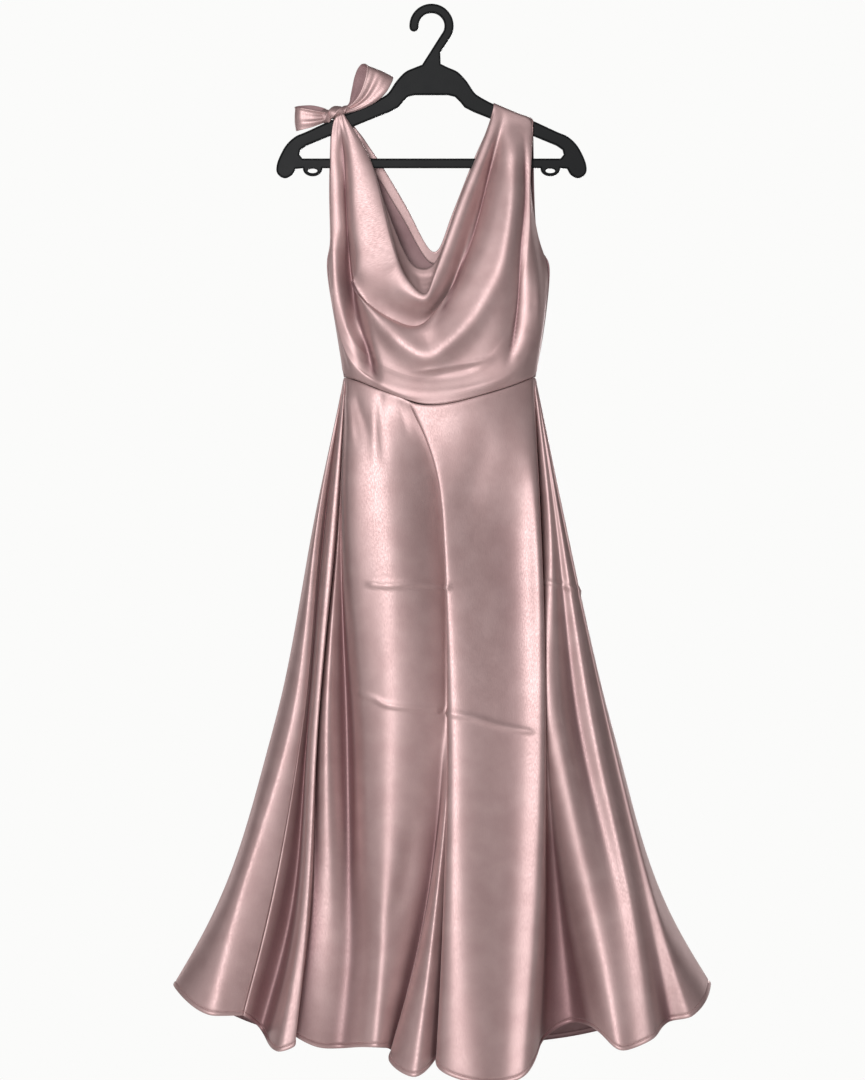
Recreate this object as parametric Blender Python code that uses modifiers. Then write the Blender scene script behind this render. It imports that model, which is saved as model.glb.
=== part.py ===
"""Floor-length satin evening dress hanging on a moulded plastic hanger.

Cowl front, V back, one gathered shoulder tied in a bow, a waist seam that dips at the front and a flared
skirt that falls in deep flutes. Tables are in millimetres: X to the viewer's right, depth towards the back
(so a negative depth is nearer the viewer), height up. The origin is the underside of the hook's crest,
where a rail carries the hanger.
"""

import math

import bmesh
import bpy
import numpy as np

MM = 0.001

# Cloth
CLOTH = 1.2  # thickness of every cloth wall
SEAM = 0.5  # gap between two pieces that are sewn edge to edge or lie on each other
SIDE_SEAM = 0.9  # the same along the skirt's side seams, where the cloth folds sharply

# Hanger: one flat moulding
HANGER_THICKNESS = 9.0
HANGER_EDGE = 1.0  # bevel along the plate's edges
SHARP_ANGLE = 50  # degrees: only sharper edges are bevelled
HOOK_RADIUS = 25.4  # centre line of the hook's round
HOOK_WIDTH = 13.4
HOOK_CENTRE = (0.0, -18.7)
HOOK_TIP_ANGLE = 183  # degrees anticlockwise from the viewer's right
HOOK_STEM_ANGLE = -28
HOOK_BASE = ((-13.7, -75.0), (11.6, -73.5))  # where the stem widens into the crown, left and right
ARM_TOP = (  # right half of the outer edge, from the crown down to the drooping end
    (24, -79.0), (38, -85.5), (51, -99), (61.5, -114.6), (70, -121.5), (89, -131.7), (113, -142),
    (147, -156.3), (181, -172), (198, -179.6), (212, -193.3), (222.4, -213.8), (225, -227.5),
    (220.7, -236), (212, -239.5), (201.8, -234.3), (196.7, -225.8),
)
BAR_BOTTOM = -224.8
ARM_INSIDE = (  # right half of the big opening's upper edge, from the crown to the bar
    (24, -119), (34, -121.4), (41, -128.3), (48, -136.8), (61.6, -143.7), (78.7, -150.5),
    (150.5, -179.6), (181.3, -192.3), (190, -198.4), (191.6, -205.3), (187, -211),
)
STRAP_LOOP = (172.3, -225.6)  # centre of each loop under the bar
STRAP_LOOP_OUTER = (14.2, 11.0)
STRAP_LOOP_HOLE = (7.0, 3.4)
STRAP_LOOP_DROP = 3.2  # the hole lies this far below the loop's centre

# Waist: an ellipse in plan. The front seam dips in the middle, the back seam runs level.
WAIST_CENTRE = 11.8
WAIST_HALF_WIDTH = 138.5
WAIST_FRONT_DEPTH = 46.0
WAIST_BACK_DEPTH = 40.0
WAIST_BACK_HEIGHT = -528.0
WAIST_DIP = (  # across, height of the seam along the front
    (-127, -528), (-108, -533.6), (-73, -548), (-46, -557), (-28, -565.5), (-9, -570), (20, -568.4),
    (70, -555.4), (114, -542.3), (150.4, -528),
)

WAIST_GAP = 0.0009  # share of the skirt's length left clear under the waist seam
SEAM_FADE = 0.1  # share of its length over which the skirt's own rings take over from the seam's line

# Skirt: a row for each fold line, from the left side seam round the front to the right one, then round the
# back. "waist" is the share of the half waist where the line starts; across and depth are given at the hip,
# knee and calf levels and at the hem, which hangs at its own height.
SKIRT_LEVELS = (-700, -1040, -1330)
SKIRT_FRONT_COLUMNS, SKIRT_BACK_COLUMNS = 58, 38
SPACING_DOWN = (0.35, 0.6, 0.85, 1.0)  # where the fold lines' distances from each other are measured
SKIRT_DOWN = (WAIST_GAP, 0.03, 0.1, 0.2, 0.32, 0.44, 0.55, 0.66, 0.78, 0.89, 1.0)
SKIRT_FRONT = (
    # name, waist, across (hip, knee, calf, hem), depth (hip, knee, calf, hem), hem height
    ("left_seam", 0.0, (-155, -188, -241, -272), (-10, -24, -38, -46), -1450),
    ("left_valley", 0.015, (-150, -179, -206, -245), (3, -8, -20, -28), -1475),
    ("left_flute", 0.03, (-143, -172, -192, -222), (-24, -48, -72, -92), -1500),
    ("left_flute_edge", 0.042, (-134, -162, -177, -195), (-24, -48, -74, -88), -1490),
    ("left_gap", 0.05, (-133, -166, -182, -200), (8, -16, -42, -58), -1476),
    ("strip_ridge", 0.058, (-131, -155, -151, -160), (0, -30, -58, -82), -1497),
    ("strip_valley", 0.066, (-130, -120, -117, -124), (-8, -28, -48, -74), -1497),
    ("panel_left_edge", 0.08, (-130, -98, -92, -102), (-34, -46, -60, -78), -1494),
    ("panel_left_slope", 0.17, (-98, -78, -74, -88), (-50, -60, -72, -82), -1493),
    ("panel_left_ridge", 0.28, (-58, -50, -50, -78), (-58, -68, -78, -84), -1493),
    ("centre_valley", 0.365, (8, 14, -10, -56), (-46, -52, -58, -66), -1500),
    ("centre_flute_left", 0.375, (15, 20, -15, -70), (-44, -54, -84, -100), -1511),
    ("centre_flute", 0.385, (19, 26, 4, -36), (-43, -56, -102, -134), -1536),
    ("centre_flute_right", 0.395, (21, 30, 20, 10), (-42, -54, -80, -98), -1505),
    ("panel_right_edge", 0.41, (11, 20, 13, 5), (-56, -82, -108, -128), -1518),
    ("panel_right_ridge", 0.50, (36, 42, 44, 46), (-66, -98, -128, -150), -1539),
    ("panel_right_dip", 0.62, (84, 98, 96, 92), (-58, -84, -110, -138), -1540),
    ("panel_right_swell", 0.78, (130, 148, 142, 132), (-52, -84, -110, -130), -1530),
    ("panel_right_turn", 0.93, (155, 167, 161, 151), (-34, -64, -86, -102), -1504),
    ("right_gap", 0.945, (152, 161, 164, 160), (-6, -30, -44, -52), -1484),
    ("right_recess", 0.955, (158, 168, 192, 206), (-2, -22, -30, -36), -1459),
    ("side_flute_edge", 0.965, (163, 170, 216, 244), (-8, -38, -66, -84), -1468),
    ("side_flute", 0.972, (168, 184, 244, 268), (-14, -52, -90, -118), -1497),
    ("side_flute_dip", 0.978, (174, 212, 276, 294), (-12, -42, -74, -98), -1492),
    ("side_flute_swell", 0.984, (180, 238, 303, 326), (-13, -46, -74, -94), -1478),
    ("side_valley", 0.99, (183, 254, 313, 346), (-8, -28, -46, -54), -1457),
    ("right_flute", 0.995, (185, 259, 338, 380), (-6, -26, -50, -68), -1451),
    ("right_seam", 1.0, (186, 263, 358, 405), (4, 4, 4, 4), -1408),
)
SKIRT_BACK = (
    ("right_back_flute", 0.05, (181, 240, 314, 352), (18, 36, 54, 68), -1440),
    ("right_back_valley", 0.13, (163, 198, 262, 296), (26, 26, 34, 40), -1462),
    ("back_flute_one", 0.22, (132, 152, 190, 214), (42, 68, 96, 120), -1492),
    ("back_valley_one", 0.34, (92, 108, 122, 134), (42, 44, 56, 64), -1498),
    ("back_flute_two", 0.46, (46, 52, 56, 60), (52, 80, 114, 138), -1514),
    ("back_valley_two", 0.56, (4, -4, -18, -26), (46, 50, 62, 72), -1508),
    ("back_flute_three", 0.66, (-40, -64, -90, -106), (50, 78, 110, 134), -1510),
    ("back_valley_three", 0.77, (-84, -112, -156, -182), (38, 40, 52, 62), -1490),
    ("back_flute_four", 0.88, (-124, -160, -222, -260), (34, 58, 82, 100), -1474),
    ("left_back_valley", 0.945, (-150, -202, -284, -326), (16, 24, 36, 42), -1438),
    ("left_outline", 0.96, (-163, -231, -330, -376), (2, 2, 0, -2), -1407),
    ("left_front_flute", 0.985, (-160, -206, -292, -320), (-14, -32, -50, -62), -1449),
)

# Bodice: a row for each drape line, from the neck down to the waist, with its place at seven stations from
# the viewer's left to the right: (across, height, depth).
DRAPE_STATIONS = (0.0, 0.2, 0.42, 0.54, 0.65, 0.82, 1.0)
WAIST_STATIONS = (-126.7, -119, -94, -12, 92, 141, 150.3)
SHOULDER_TURN = (  # share across, height above the arm's top edge, depth: the cloth turns over the arm
    (0.955, -6.0, 9.6), (0.985, 1.0, 6.0), (1.0, 1.5, 0.45),
)
SHOULDER_ROWS = (0.65, 0.66, 0.675, 0.7)  # shares down where the outer corners of the shoulder lie
BACK_SHOULDER_ROWS = (0.5, 0.52, 0.545)
FRONT_ACROSS = (  # places across the front's mesh, closest together at the bottom of the cowl
    0, 0.05, 0.1, 0.15, 0.2, 0.245, 0.29, 0.34, 0.39, 0.42, 0.445, 0.47, 0.495, 0.52, 0.54, 0.565,
    0.59, 0.61, 0.635, 0.66, 0.71, 0.76, 0.815, 0.87, 0.92, *(share for share, _, _ in SHOULDER_TURN),
)
FRONT_DOWN = (
    0, 0.03, 0.06, 0.09, 0.12, 0.15, 0.18, 0.21, 0.24, 0.27, 0.3, 0.33, 0.36, 0.39, 0.42, 0.5, 0.58,
    *SHOULDER_ROWS, 0.76, 0.82, 0.88, 0.94, 1.0,
)
BACK_ACROSS = (*FRONT_ACROSS[:-4:2], *FRONT_ACROSS[-3:])
BACK_DOWN = (0, 0.06, 0.12, 0.25, 0.4, *BACK_SHOULDER_ROWS, 0.64, 0.73, 0.82, 0.91, 1.0)
FRONT_SHOULDER_LAST = 0.65  # drapes down to this share end on the shoulder seam, and later ones below it
BACK_SHOULDER_LAST = 0.5
FRONT_DRAPES = (
    # name, share down, top, strap, turn, low, rise, right strap, right end
    ("facing_edge", 0.0, (-124, -153, -6.8), (-77, -232, -8), (-33, -360, -20), (-11, -371, -22),
     (8, -359, -21), (42, -266, -12), (90, -139, -6.8)),
    ("facing", 0.05, (-125, -152, -7), (-80, -228, -9), (-38, -372, -28), (-11, -396, -33),
     (6, -376, -29), (41, -267, -16), (91, -138, -7)),
    ("roll_inside", 0.09, (-126, -150.5, -8.8), (-84, -223, -12), (-41.5, -380, -38), (-10.6, -416, -45),
     (5, -388, -40), (42, -266, -21), (92, -136, -8.8)),
    ("roll", 0.12, (-126.6, -149, -10.6), (-85.5, -221, -17), (-43, -374, -47), (-10.6, -410, -55),
     (4.5, -380, -50), (41, -265, -29), (92.5, -134.5, -10.6)),
    ("roll_front", 0.155, (-128, -149.5, -11.4), (-91, -222, -22), (-54, -384, -50), (-11, -418, -59),
     (8, -391, -52), (47, -270, -35), (96, -136, -12.4)),
    ("under_roll", 0.20, (-130, -150.5, -11.4), (-98, -223, -23), (-74, -394, -44), (-13, -430, -47),
     (12, -404, -46), (54, -276, -34), (99.5, -137.5, -12.6)),
    ("recess", 0.25, (-132, -151.5, -11), (-106, -224, -20), (-92, -395, -38), (-19, -446, -34),
     (14, -417, -37), (58, -286, -27), (102.5, -139, -11.6)),
    ("pocket", 0.30, (-134, -152.5, -10.4), (-114, -225, -13), (-109, -398, -33), (-27, -468, -31),
     (12, -432, -35), (61, -298, -22), (105, -140, -11)),
    ("pocket_edge", 0.335, (-136, -153.5, -10.2), (-119, -226, -9.5), (-113, -396, -36), (-27, -457, -48),
     (16, -416, -46), (66, -298, -25), (108, -141, -11.4)),
    ("second_ridge", 0.42, (-138, -154.5, -10.6), (-124, -228, -10.5), (-104, -414, -45), (-10, -499, -61),
     (32, -466, -58), (84, -338, -44), (113, -143.5, -13)),
    ("second_under", 0.50, (-140, -155.5, -11.4), (-131, -232, -14), (-106, -434, -36), (-13, -514, -54),
     (46, -484, -54), (98, -352, -44), (122, -147, -13.4)),
    ("left_ridge", 0.57, (-143, -157, -11.8), (-139, -240, -20), (-116, -452, -34), (-14, -523, -50),
     (58, -500, -51), (112, -366, -50), (132, -151, -13)),
    ("outer_drape", 0.65, (-145.4, -160, -11), (-145, -262, -14), (-121, -468, -34), (-14, -530, -49),
     (68, -511, -49), (131, -378, -41), (147, -158, -10.6)),
    ("shoulder_corner", 0.66, (-145.8, -163, -10.8), (-145, -268, -14), (-121, -470, -34),
     (-14, -531, -49), (70, -512, -49), (133, -380, -41), (147, -155.2, -6.2)),
    ("shoulder_edge", 0.675, (-146.3, -169, -10.6), (-145.2, -276, -14.5), (-121, -473, -34),
     (-14, -533, -49), (72, -514, -49), (136, -384, -40), (147, -166, -9.8)),
    ("armhole", 0.73, (-149.6, -222, -9), (-146, -312, -16), (-121, -484, -33), (-14, -538, -48),
     (77, -521, -48), (147, -396, -36), (143.6, -262, -9)),
    ("upper_side", 0.81, (-144, -322, -6), (-146, -365, -15), (-117, -499, -33), (-14, -545, -47),
     (84, -529, -47), (156, -424, -32), (157, -342, -5)),
    ("underarm", 0.88, (-152, -364, -1.1), (-141, -418, -17), (-111, -512, -34), (-13, -552, -47),
     (90, -533, -46), (155, -462, -29), (172, -368, -1.1)),
    ("lower_side", 0.945, (-139, -452, -1.1), (-130, -480, -19), (-98, -526, -37), (-12, -560, -47),
     (92, -539, -45), (148, -498, -25), (163, -458, -1.1)),
)
CREASE_SHARE = ((0.13, 0.23, 0.94, 1.0), (0, 1, 1, 0))  # of their depth, at shares down the front
CREASES = (
    # name, line of (across, height), width each side, depth pushed back
    ("left_valley", ((-119, -350), (-116, -400), (-105, -446), (-90, -500), (-74, -545)), 13, 15),
    ("right_valley", ((101, -160), (92, -235), (74, -320), (40, -400)), 12, 9),
    ("side_valley", ((128, -165), (127, -300), (126, -420), (112, -530)), 10, 9),
)
BACK_DRAPES = (
    ("neck_edge", 0.0, (-121, -151, 8.4), (-80, -208, 10), (-36, -280, 18), (4, -348, 24),
     (29, -292, 19), (60, -214, 11), (91, -136, 7)),
    ("upper", 0.3, (-134, -156, 9), (-100, -250, 14), (-56, -340, 24), (4, -388, 32),
     (52, -350, 26), (86, -250, 16), (119, -144, 8)),
    ("middle", 0.5, (-145.4, -161, 8.6), (-126, -290, 15), (-82, -404, 28), (5, -432, 36),
     (86, -404, 30), (122, -290, 17), (147, -157, 7)),
    ("shoulder_corner", 0.52, (-146, -168, 8.6), (-127, -298, 15), (-83, -410, 28), (5, -438, 36),
     (88, -410, 30), (124, -298, 17), (147, -155.2, 6.2)),
    ("shoulder_edge", 0.545, (-146.5, -178, 8.4), (-128, -306, 15), (-84, -416, 28.5), (5, -442, 36.5),
     (91, -416, 30), (127, -306, 17), (147.5, -166, 9.4)),
    ("armhole", 0.7, (-148, -262, 6), (-132, -370, 15), (-92, -452, 30), (7, -476, 38),
     (104, -452, 31), (140, -370, 15), (152, -262, 6)),
    ("underarm", 0.84, (-152, -364, 1.1), (-134, -432, 18), (-94, -486, 33), (9, -500, 39),
     (112, -486, 32), (150, -432, 17), (172, -368, 1.1)),
    ("lower_side", 0.93, (-139, -452, 1.1), (-126, -486, 17), (-94, -510, 32), (9, -517, 39.5),
     (106, -510, 32), (147, -486, 16), (163, -458, 1.1)),
)

# Back neck facing and armhole bindings: the rows of the panel that they lie on
FACING_ROWS, FACING_COLUMNS = slice(0, 3), slice(2, -3)
BINDING_ROWS = slice(FRONT_DOWN.index(SHOULDER_ROWS[-1]), FRONT_DOWN.index(0.88) + 1)

# Bow: each loop is a ribbon between two edges, near and far, as (across, height, depth) from where it leaves
# the knot round to where it comes back.
BOW_LOOPS = (
    ("bow_loop_left",
     ((-141, -143, -2), (-152, -143.5, -5), (-170, -140, -9), (-190, -138, -9), (-198, -137, -2),
      (-190, -134, 7), (-170, -134.5, 8), (-152, -139, 5), (-141, -141, 2)),
     ((-141, -148, -2), (-152, -154, -5), (-170, -162, -9), (-190, -168, -9), (-197.5, -170, -2),
      (-190, -167, 7), (-170, -160, 8), (-152, -152, 5), (-141, -147, 2))),
    ("bow_loop_right",
     ((-127, -139, 2), (-118, -128, 6), (-116, -114, 10), (-110, -91, 11), (-99, -74.5, 4),
      (-94, -84, -8), (-102, -112, -8), (-115, -132, -5), (-127, -140, -2)),
     ((-126, -142, 2), (-108, -134, 6), (-92, -123, 10), (-70, -106, 11), (-55, -92, 4),
      (-60, -101, -8), (-82, -121, -8), (-107, -136, -5), (-126, -143, -2))),
)
KNOT_CENTRE = (-134.5, 0.0, -142.4)
KNOT_SIZE = (15.5, 9.0, 7.8)
KNOT_TILT = 22.8  # degrees, the slope of the hanger's arm there
KNOT_SEGMENTS, KNOT_RINGS = 20, 10
RIBBON_ROWS, RIBBON_COLUMNS = 22, 5


def spline(knots, values, at):
    """Smooth curve through values at knots, read at the places in at, that never overshoots a fold."""
    knots = np.asarray(knots, float)
    values = np.asarray(values, float)
    at = np.asarray(at, float)
    step = np.diff(knots)[:, None]
    slope = np.diff(values, axis=0) / step
    tangent = np.empty_like(values)
    tangent[0], tangent[-1] = slope[0], slope[-1]
    mean = (slope[:-1] * step[1:] + slope[1:] * step[:-1]) / (step[1:] + step[:-1])
    limit = 3 * np.minimum(abs(slope[:-1]), abs(slope[1:]))
    tangent[1:-1] = np.where(slope[:-1] * slope[1:] > 0, np.clip(mean, -limit, limit), 0)
    i = np.clip(np.searchsorted(knots, at, side="right") - 1, 0, len(knots) - 2)
    h = step[i]
    t = (at[:, None] - knots[i][:, None]) / h
    return (
        (2 * t**3 - 3 * t**2 + 1) * values[i]
        + (t**3 - 2 * t**2 + t) * h * tangent[i]
        + (3 * t**2 - 2 * t**3) * values[i + 1]
        + (t**3 - t**2) * h * tangent[i + 1]
    )


def seam_height(across, back=False):
    """Height of the waist seam at a place across the dress."""
    if back:
        return np.full(len(across), WAIST_BACK_HEIGHT)
    dip = np.array(WAIST_DIP, float)
    return spline(dip[:, 0], dip[:, 1:], across)[:, 0]


def waist_point(share, back=False):
    """Point on the waist seam at a share of the half turn, left to right in front, right to left behind."""
    angle = math.pi * share
    depth = WAIST_BACK_DEPTH if back else -WAIST_FRONT_DEPTH
    side = 1 if back else -1
    across = WAIST_CENTRE + side * WAIST_HALF_WIDTH * math.cos(angle)
    return np.array([across, depth * math.sin(angle), seam_height([across], back)[0]])


def skirt_columns():
    """Fold lines of the whole skirt in order round it, back to the first, each marked front or back."""
    rows = [(row, False) for row in SKIRT_FRONT] + [(row, True) for row in SKIRT_BACK]
    rows.append((SKIRT_FRONT[0], False))
    return rows


def skirt_ring(down):
    """Points of every fold line at a share of the way from the waist seam to the hem."""
    points = []
    for (_, waist, across, depth, hem), back in skirt_columns():
        start = waist_point(waist, back)
        heights = np.array([start[2], *SKIRT_LEVELS, hem], float)
        values = np.array([[start[0], start[1]], *zip(across, depth)], float)
        height = start[2] + (hem - start[2]) * down
        plan = spline(-heights, values, [-height])[0]
        points.append([plan[0], plan[1], height])
    return np.array(points)


def skirt_knots():
    """Ring parameter of each fold line: its mean distance from the one before, over the lower skirt."""
    steps = 0
    for down in SPACING_DOWN:
        steps = steps + np.linalg.norm(np.diff(skirt_ring(down), axis=0), axis=1)
    return np.concatenate([[0], np.cumsum(steps / len(SPACING_DOWN))])


def skirt_surface(first, last, columns):
    """Grid of points between two fold lines, from the waist to the hem."""
    knots = skirt_knots()
    turn = knots[-1]
    wide = np.concatenate([knots[-3:-1] - turn, knots, knots[1:3] + turn])
    around = np.linspace(knots[first], knots[last], columns)
    grid = []
    for down in (0, *SKIRT_DOWN):
        ring = skirt_ring(down)
        wrapped = np.vstack([ring[-3:-1], ring, ring[1:3]])
        line = spline(wide, wrapped, around)
        for end, beside in ((0, 1), (-1, -2)):
            inward = line[beside] - line[end]
            line[end] += inward * min(SIDE_SEAM / 2 / np.linalg.norm(inward), 0.5)
        grid.append(line)
    top = grid.pop(0)
    off_seam = seam_height(top[:, 0], first > 0) - top[:, 2]
    for down, line in zip(SKIRT_DOWN, grid):
        line[:, 2] += off_seam * max(1 - down / SEAM_FADE, 0)
    return np.array(grid)


def arm_top(across):
    """Height of the hanger's arm at a distance from the middle."""
    arm = np.array(ARM_TOP, float)
    return float(np.interp(abs(across), arm[:, 0], arm[:, 1]))


def drape_line(row, shares, back):
    """Points of one drape line. A line that reaches the shoulder turns over the hanger's arm there."""
    knots = list(DRAPE_STATIONS)
    points = [(across, depth, height) for across, height, depth in row[2:]]
    if row[1] <= (BACK_SHOULDER_LAST if back else FRONT_SHOULDER_LAST):
        side = 1 if back else -1
        across = points[-1][0]
        knots[-1:] = [share for share, _, _ in SHOULDER_TURN]
        points[-1:] = [(across, side * out, arm_top(across) + rise) for _, rise, out in SHOULDER_TURN]
    return spline(knots, points, shares)


def waist_line(shares, back):
    """Points of the waist seam below each share across the bodice."""
    side = 1 if back else -1
    turns = [math.acos((x - WAIST_CENTRE) / WAIST_HALF_WIDTH * side) / math.pi for x in WAIST_STATIONS]
    turns = spline(DRAPE_STATIONS, np.array(turns)[:, None], shares)[:, 0]
    points = np.array([waist_point(min(max(turn, 0), 1), back) for turn in turns])
    points[:, 1] += side * SEAM / 2
    points[:, 2] += SEAM / 2
    return points


def bodice_surface(drapes, back, across, down):
    """Grid of points at shares across the bodice and down from the neck to the waist seam."""
    knots = [row[1] for row in drapes] + [1.0]
    lines = [drape_line(row, across, back) for row in drapes]
    lines = np.array(lines + [waist_line(across, back)])
    flat = lines.reshape(len(knots), -1)
    grid = spline(knots, flat, down).reshape(len(down), len(across), 3)
    return grid if back else creased(grid, down)


def distance_to_line(points, line):
    """Distance from each point to a line of short runs, and how near the line's ends it falls, 0 to 1."""
    line = np.array(line, float)
    steps = line[1:] - line[:-1]
    lengths = np.linalg.norm(steps, axis=1)
    before = np.concatenate([[0], np.cumsum(lengths)])
    nearest = np.full(len(points), np.inf)
    along = np.zeros(len(points))
    for start, step, length, begun in zip(line, steps, lengths, before):
        share = np.clip((points - start) @ step / length**2, 0, 1)
        away = np.linalg.norm(points - start - share[:, None] * step, axis=1)
        closer = away < nearest
        nearest[closer] = away[closer]
        along[closer] = (begun + share * length)[closer] / before[-1]
    return nearest, along


def creased(grid, down):
    """The front with its long folds pressed in, from just under the cowl's roll to the waist seam."""
    flat = grid.reshape(-1, 3)
    free = np.repeat(np.interp(down, *CREASE_SHARE), grid.shape[1])
    for _, line, width, depth in CREASES:
        away, along = distance_to_line(flat[:, [0, 2]], line)
        fade = np.sin(np.pi * np.clip(along, 0.02, 0.98)) ** 0.5
        flat[:, 1] += depth * np.exp(-((away / width) ** 2)) * fade * free
    return flat.reshape(grid.shape)


def moved_out(grid, distance):
    """The same grid, moved towards the viewer's side of it, along its own normals."""
    across = np.gradient(grid, axis=1)
    down = np.gradient(grid, axis=0)
    normal = np.cross(down, across)
    normal /= np.linalg.norm(normal, axis=2, keepdims=True)
    return grid + normal * distance


def material(name, colour, roughness, metallic=0.0):
    """Principled material in a plain colour."""
    made = bpy.data.materials.new(name)
    made.use_nodes = True
    shader = made.node_tree.nodes["Principled BSDF"]
    shader.inputs["Base Color"].default_value = (*colour, 1)
    shader.inputs["Roughness"].default_value = roughness
    shader.inputs["Metallic"].default_value = metallic
    return made


def add_object(name, mesh, collection, finish):
    """Object in the collection with its own material."""
    made = bpy.data.objects.new(name, mesh)
    made.data.materials.append(finish)
    collection.objects.link(made)
    return made


def sheet(name, grid, collection, finish):
    """Cloth wall of even thickness about a grid of points."""
    rows, columns, _ = grid.shape
    work = bmesh.new()
    verts = [[work.verts.new(point * MM) for point in row] for row in grid]
    for i in range(rows - 1):
        for j in range(columns - 1):
            work.faces.new((verts[i][j], verts[i + 1][j], verts[i + 1][j + 1], verts[i][j + 1]))
    mesh = bpy.data.meshes.new(name)
    work.to_mesh(mesh)
    work.free()
    mesh.shade_smooth()
    made = add_object(name, mesh, collection, finish)
    shell = made.modifiers.new("Cloth", "SOLIDIFY")
    shell.thickness = CLOTH * MM
    shell.offset = 0
    return made


def arc(centre, radius, start, end, count):
    """Points along an arc, angles in degrees."""
    angles = np.radians(np.linspace(start, end, count))
    return [(centre[0] + radius * math.cos(a), centre[1] + radius * math.sin(a)) for a in angles]


def smoothed(points, steps):
    """The same line with a few places more between each two points."""
    knots = np.arange(len(points))
    finer = np.linspace(0, knots[-1], knots[-1] * steps + 1)
    return [tuple(point) for point in spline(knots, points, finer)]


def loop_edge():
    """Lower edge of the strap loop that hangs under the right end of the bar."""
    across, height = STRAP_LOOP
    around = [point for point in ellipse(STRAP_LOOP, STRAP_LOOP_OUTER, 24) if point[1] < height - 1]
    ends = [(across - STRAP_LOOP_OUTER[0], BAR_BOTTOM), (across + STRAP_LOOP_OUTER[0], BAR_BOTTOM)]
    return [ends[1], *reversed(around), ends[0]]


def hanger_outline():
    """Outer edge of the moulding, anticlockwise from the hook's stem round the hook and both arms."""
    right = smoothed(ARM_TOP, 2) + loop_edge()
    left = [(-x, z) for x, z in reversed(right)]
    outside = arc(HOOK_CENTRE, HOOK_RADIUS + HOOK_WIDTH / 2, HOOK_TIP_ANGLE, HOOK_STEM_ANGLE, 30)
    inside = arc(HOOK_CENTRE, HOOK_RADIUS - HOOK_WIDTH / 2, HOOK_STEM_ANGLE, HOOK_TIP_ANGLE, 26)
    tip = arc(HOOK_CENTRE, HOOK_RADIUS, HOOK_TIP_ANGLE, HOOK_TIP_ANGLE, 1)[0]
    end_cap = arc(tip, HOOK_WIDTH / 2, HOOK_TIP_ANGLE + 180, HOOK_TIP_ANGLE, 8)[1:-1]
    return [HOOK_BASE[0]] + inside + end_cap + outside + [HOOK_BASE[1]] + right + left


def ellipse(centre, radii, count):
    """Points of an ellipse."""
    return [
        (centre[0] + radii[0] * math.cos(a), centre[1] + radii[1] * math.sin(a))
        for a in np.linspace(0, 2 * math.pi, count, endpoint=False)
    ]


def flat_plate(name, outlines, thickness, edge, collection, finish):
    """Flat moulding: outlines filled and extruded, standing in the hanging plane."""
    curve = bpy.data.curves.new(name, "CURVE")
    curve.dimensions = "2D"
    curve.fill_mode = "BOTH"
    curve.extrude = thickness / 2 * MM
    for points in outlines:
        line = curve.splines.new("POLY")
        line.points.add(len(points) - 1)
        for place, (x, z) in zip(line.points, points):
            place.co = (x * MM, z * MM, 0, 1)
        line.use_cyclic_u = True
    flat = bpy.data.objects.new(name, curve)
    collection.objects.link(flat)
    flat.rotation_euler = (math.radians(90), 0, 0)
    bpy.context.view_layer.update()
    mesh = bpy.data.meshes.new_from_object(flat.evaluated_get(bpy.context.evaluated_depsgraph_get()))
    mesh.transform(flat.matrix_world)
    bpy.data.objects.remove(flat)
    work = bmesh.new()
    work.from_mesh(mesh)
    bmesh.ops.remove_doubles(work, verts=work.verts, dist=0.00001)
    bmesh.ops.recalc_face_normals(work, faces=work.faces)
    work.to_mesh(mesh)
    work.free()
    made = add_object(name, mesh, collection, finish)
    round_edges = made.modifiers.new("Moulded edge", "BEVEL")
    round_edges.width = edge * MM
    round_edges.segments = 1
    round_edges.limit_method = "ANGLE"
    round_edges.angle_limit = math.radians(SHARP_ANGLE)
    return made


def make_hanger(collection, finish):
    """The whole hanger as one moulding with its big opening."""
    inside = list(ARM_INSIDE) + [(-x, z) for x, z in reversed(ARM_INSIDE)]
    holes = [
        ellipse((side * STRAP_LOOP[0], STRAP_LOOP[1] - STRAP_LOOP_DROP), STRAP_LOOP_HOLE, 12)
        for side in (-1, 1)
    ]
    outlines = [hanger_outline(), inside, *holes]
    return flat_plate("hanger", outlines, HANGER_THICKNESS, HANGER_EDGE, collection, finish)


def loft(lines, shares):
    """Grid between ribbon edges, each a smooth curve through its own points."""
    near, far = (spline(np.linspace(0, 1, len(line)), line, shares) for line in lines)
    return np.array([near + (far - near) * share for share in np.linspace(0, 1, RIBBON_COLUMNS)])


def make_knot(name, grow, collection):
    """The bow's knot, an oval lump that lies along the hanger's arm, grown all round where asked."""
    bpy.ops.mesh.primitive_uv_sphere_add(segments=KNOT_SEGMENTS, ring_count=KNOT_RINGS, radius=1)
    knot = bpy.context.object
    knot.name = name
    knot.data.name = name
    for owner in list(knot.users_collection):
        owner.objects.unlink(knot)
    collection.objects.link(knot)
    knot.data.shade_smooth()
    knot.location = [value * MM for value in KNOT_CENTRE]
    knot.scale = [(value + grow) * MM for value in KNOT_SIZE]
    knot.rotation_euler = (0, -math.radians(KNOT_TILT), 0)
    return knot


def make_bow(collection, cutters, finish):
    """Two loops of ribbon either side of a tight knot on top of the hanger's arm."""
    knot = make_knot("bow_knot", 0, collection)
    knot.data.materials.append(finish)
    room = make_knot("knot_room", SEAM, cutters)
    room.hide_render = True
    room.display_type = "WIRE"
    shares = np.linspace(0, 1, RIBBON_ROWS)
    for name, near, far in BOW_LOOPS:
        edges = [[(across, depth, height) for across, height, depth in edge] for edge in (near, far)]
        loop = sheet(name, loft(edges, shares), collection, finish)
        cut = loop.modifiers.new("Room for the knot", "BOOLEAN")
        cut.operation = "DIFFERENCE"
        cut.object = room


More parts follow.
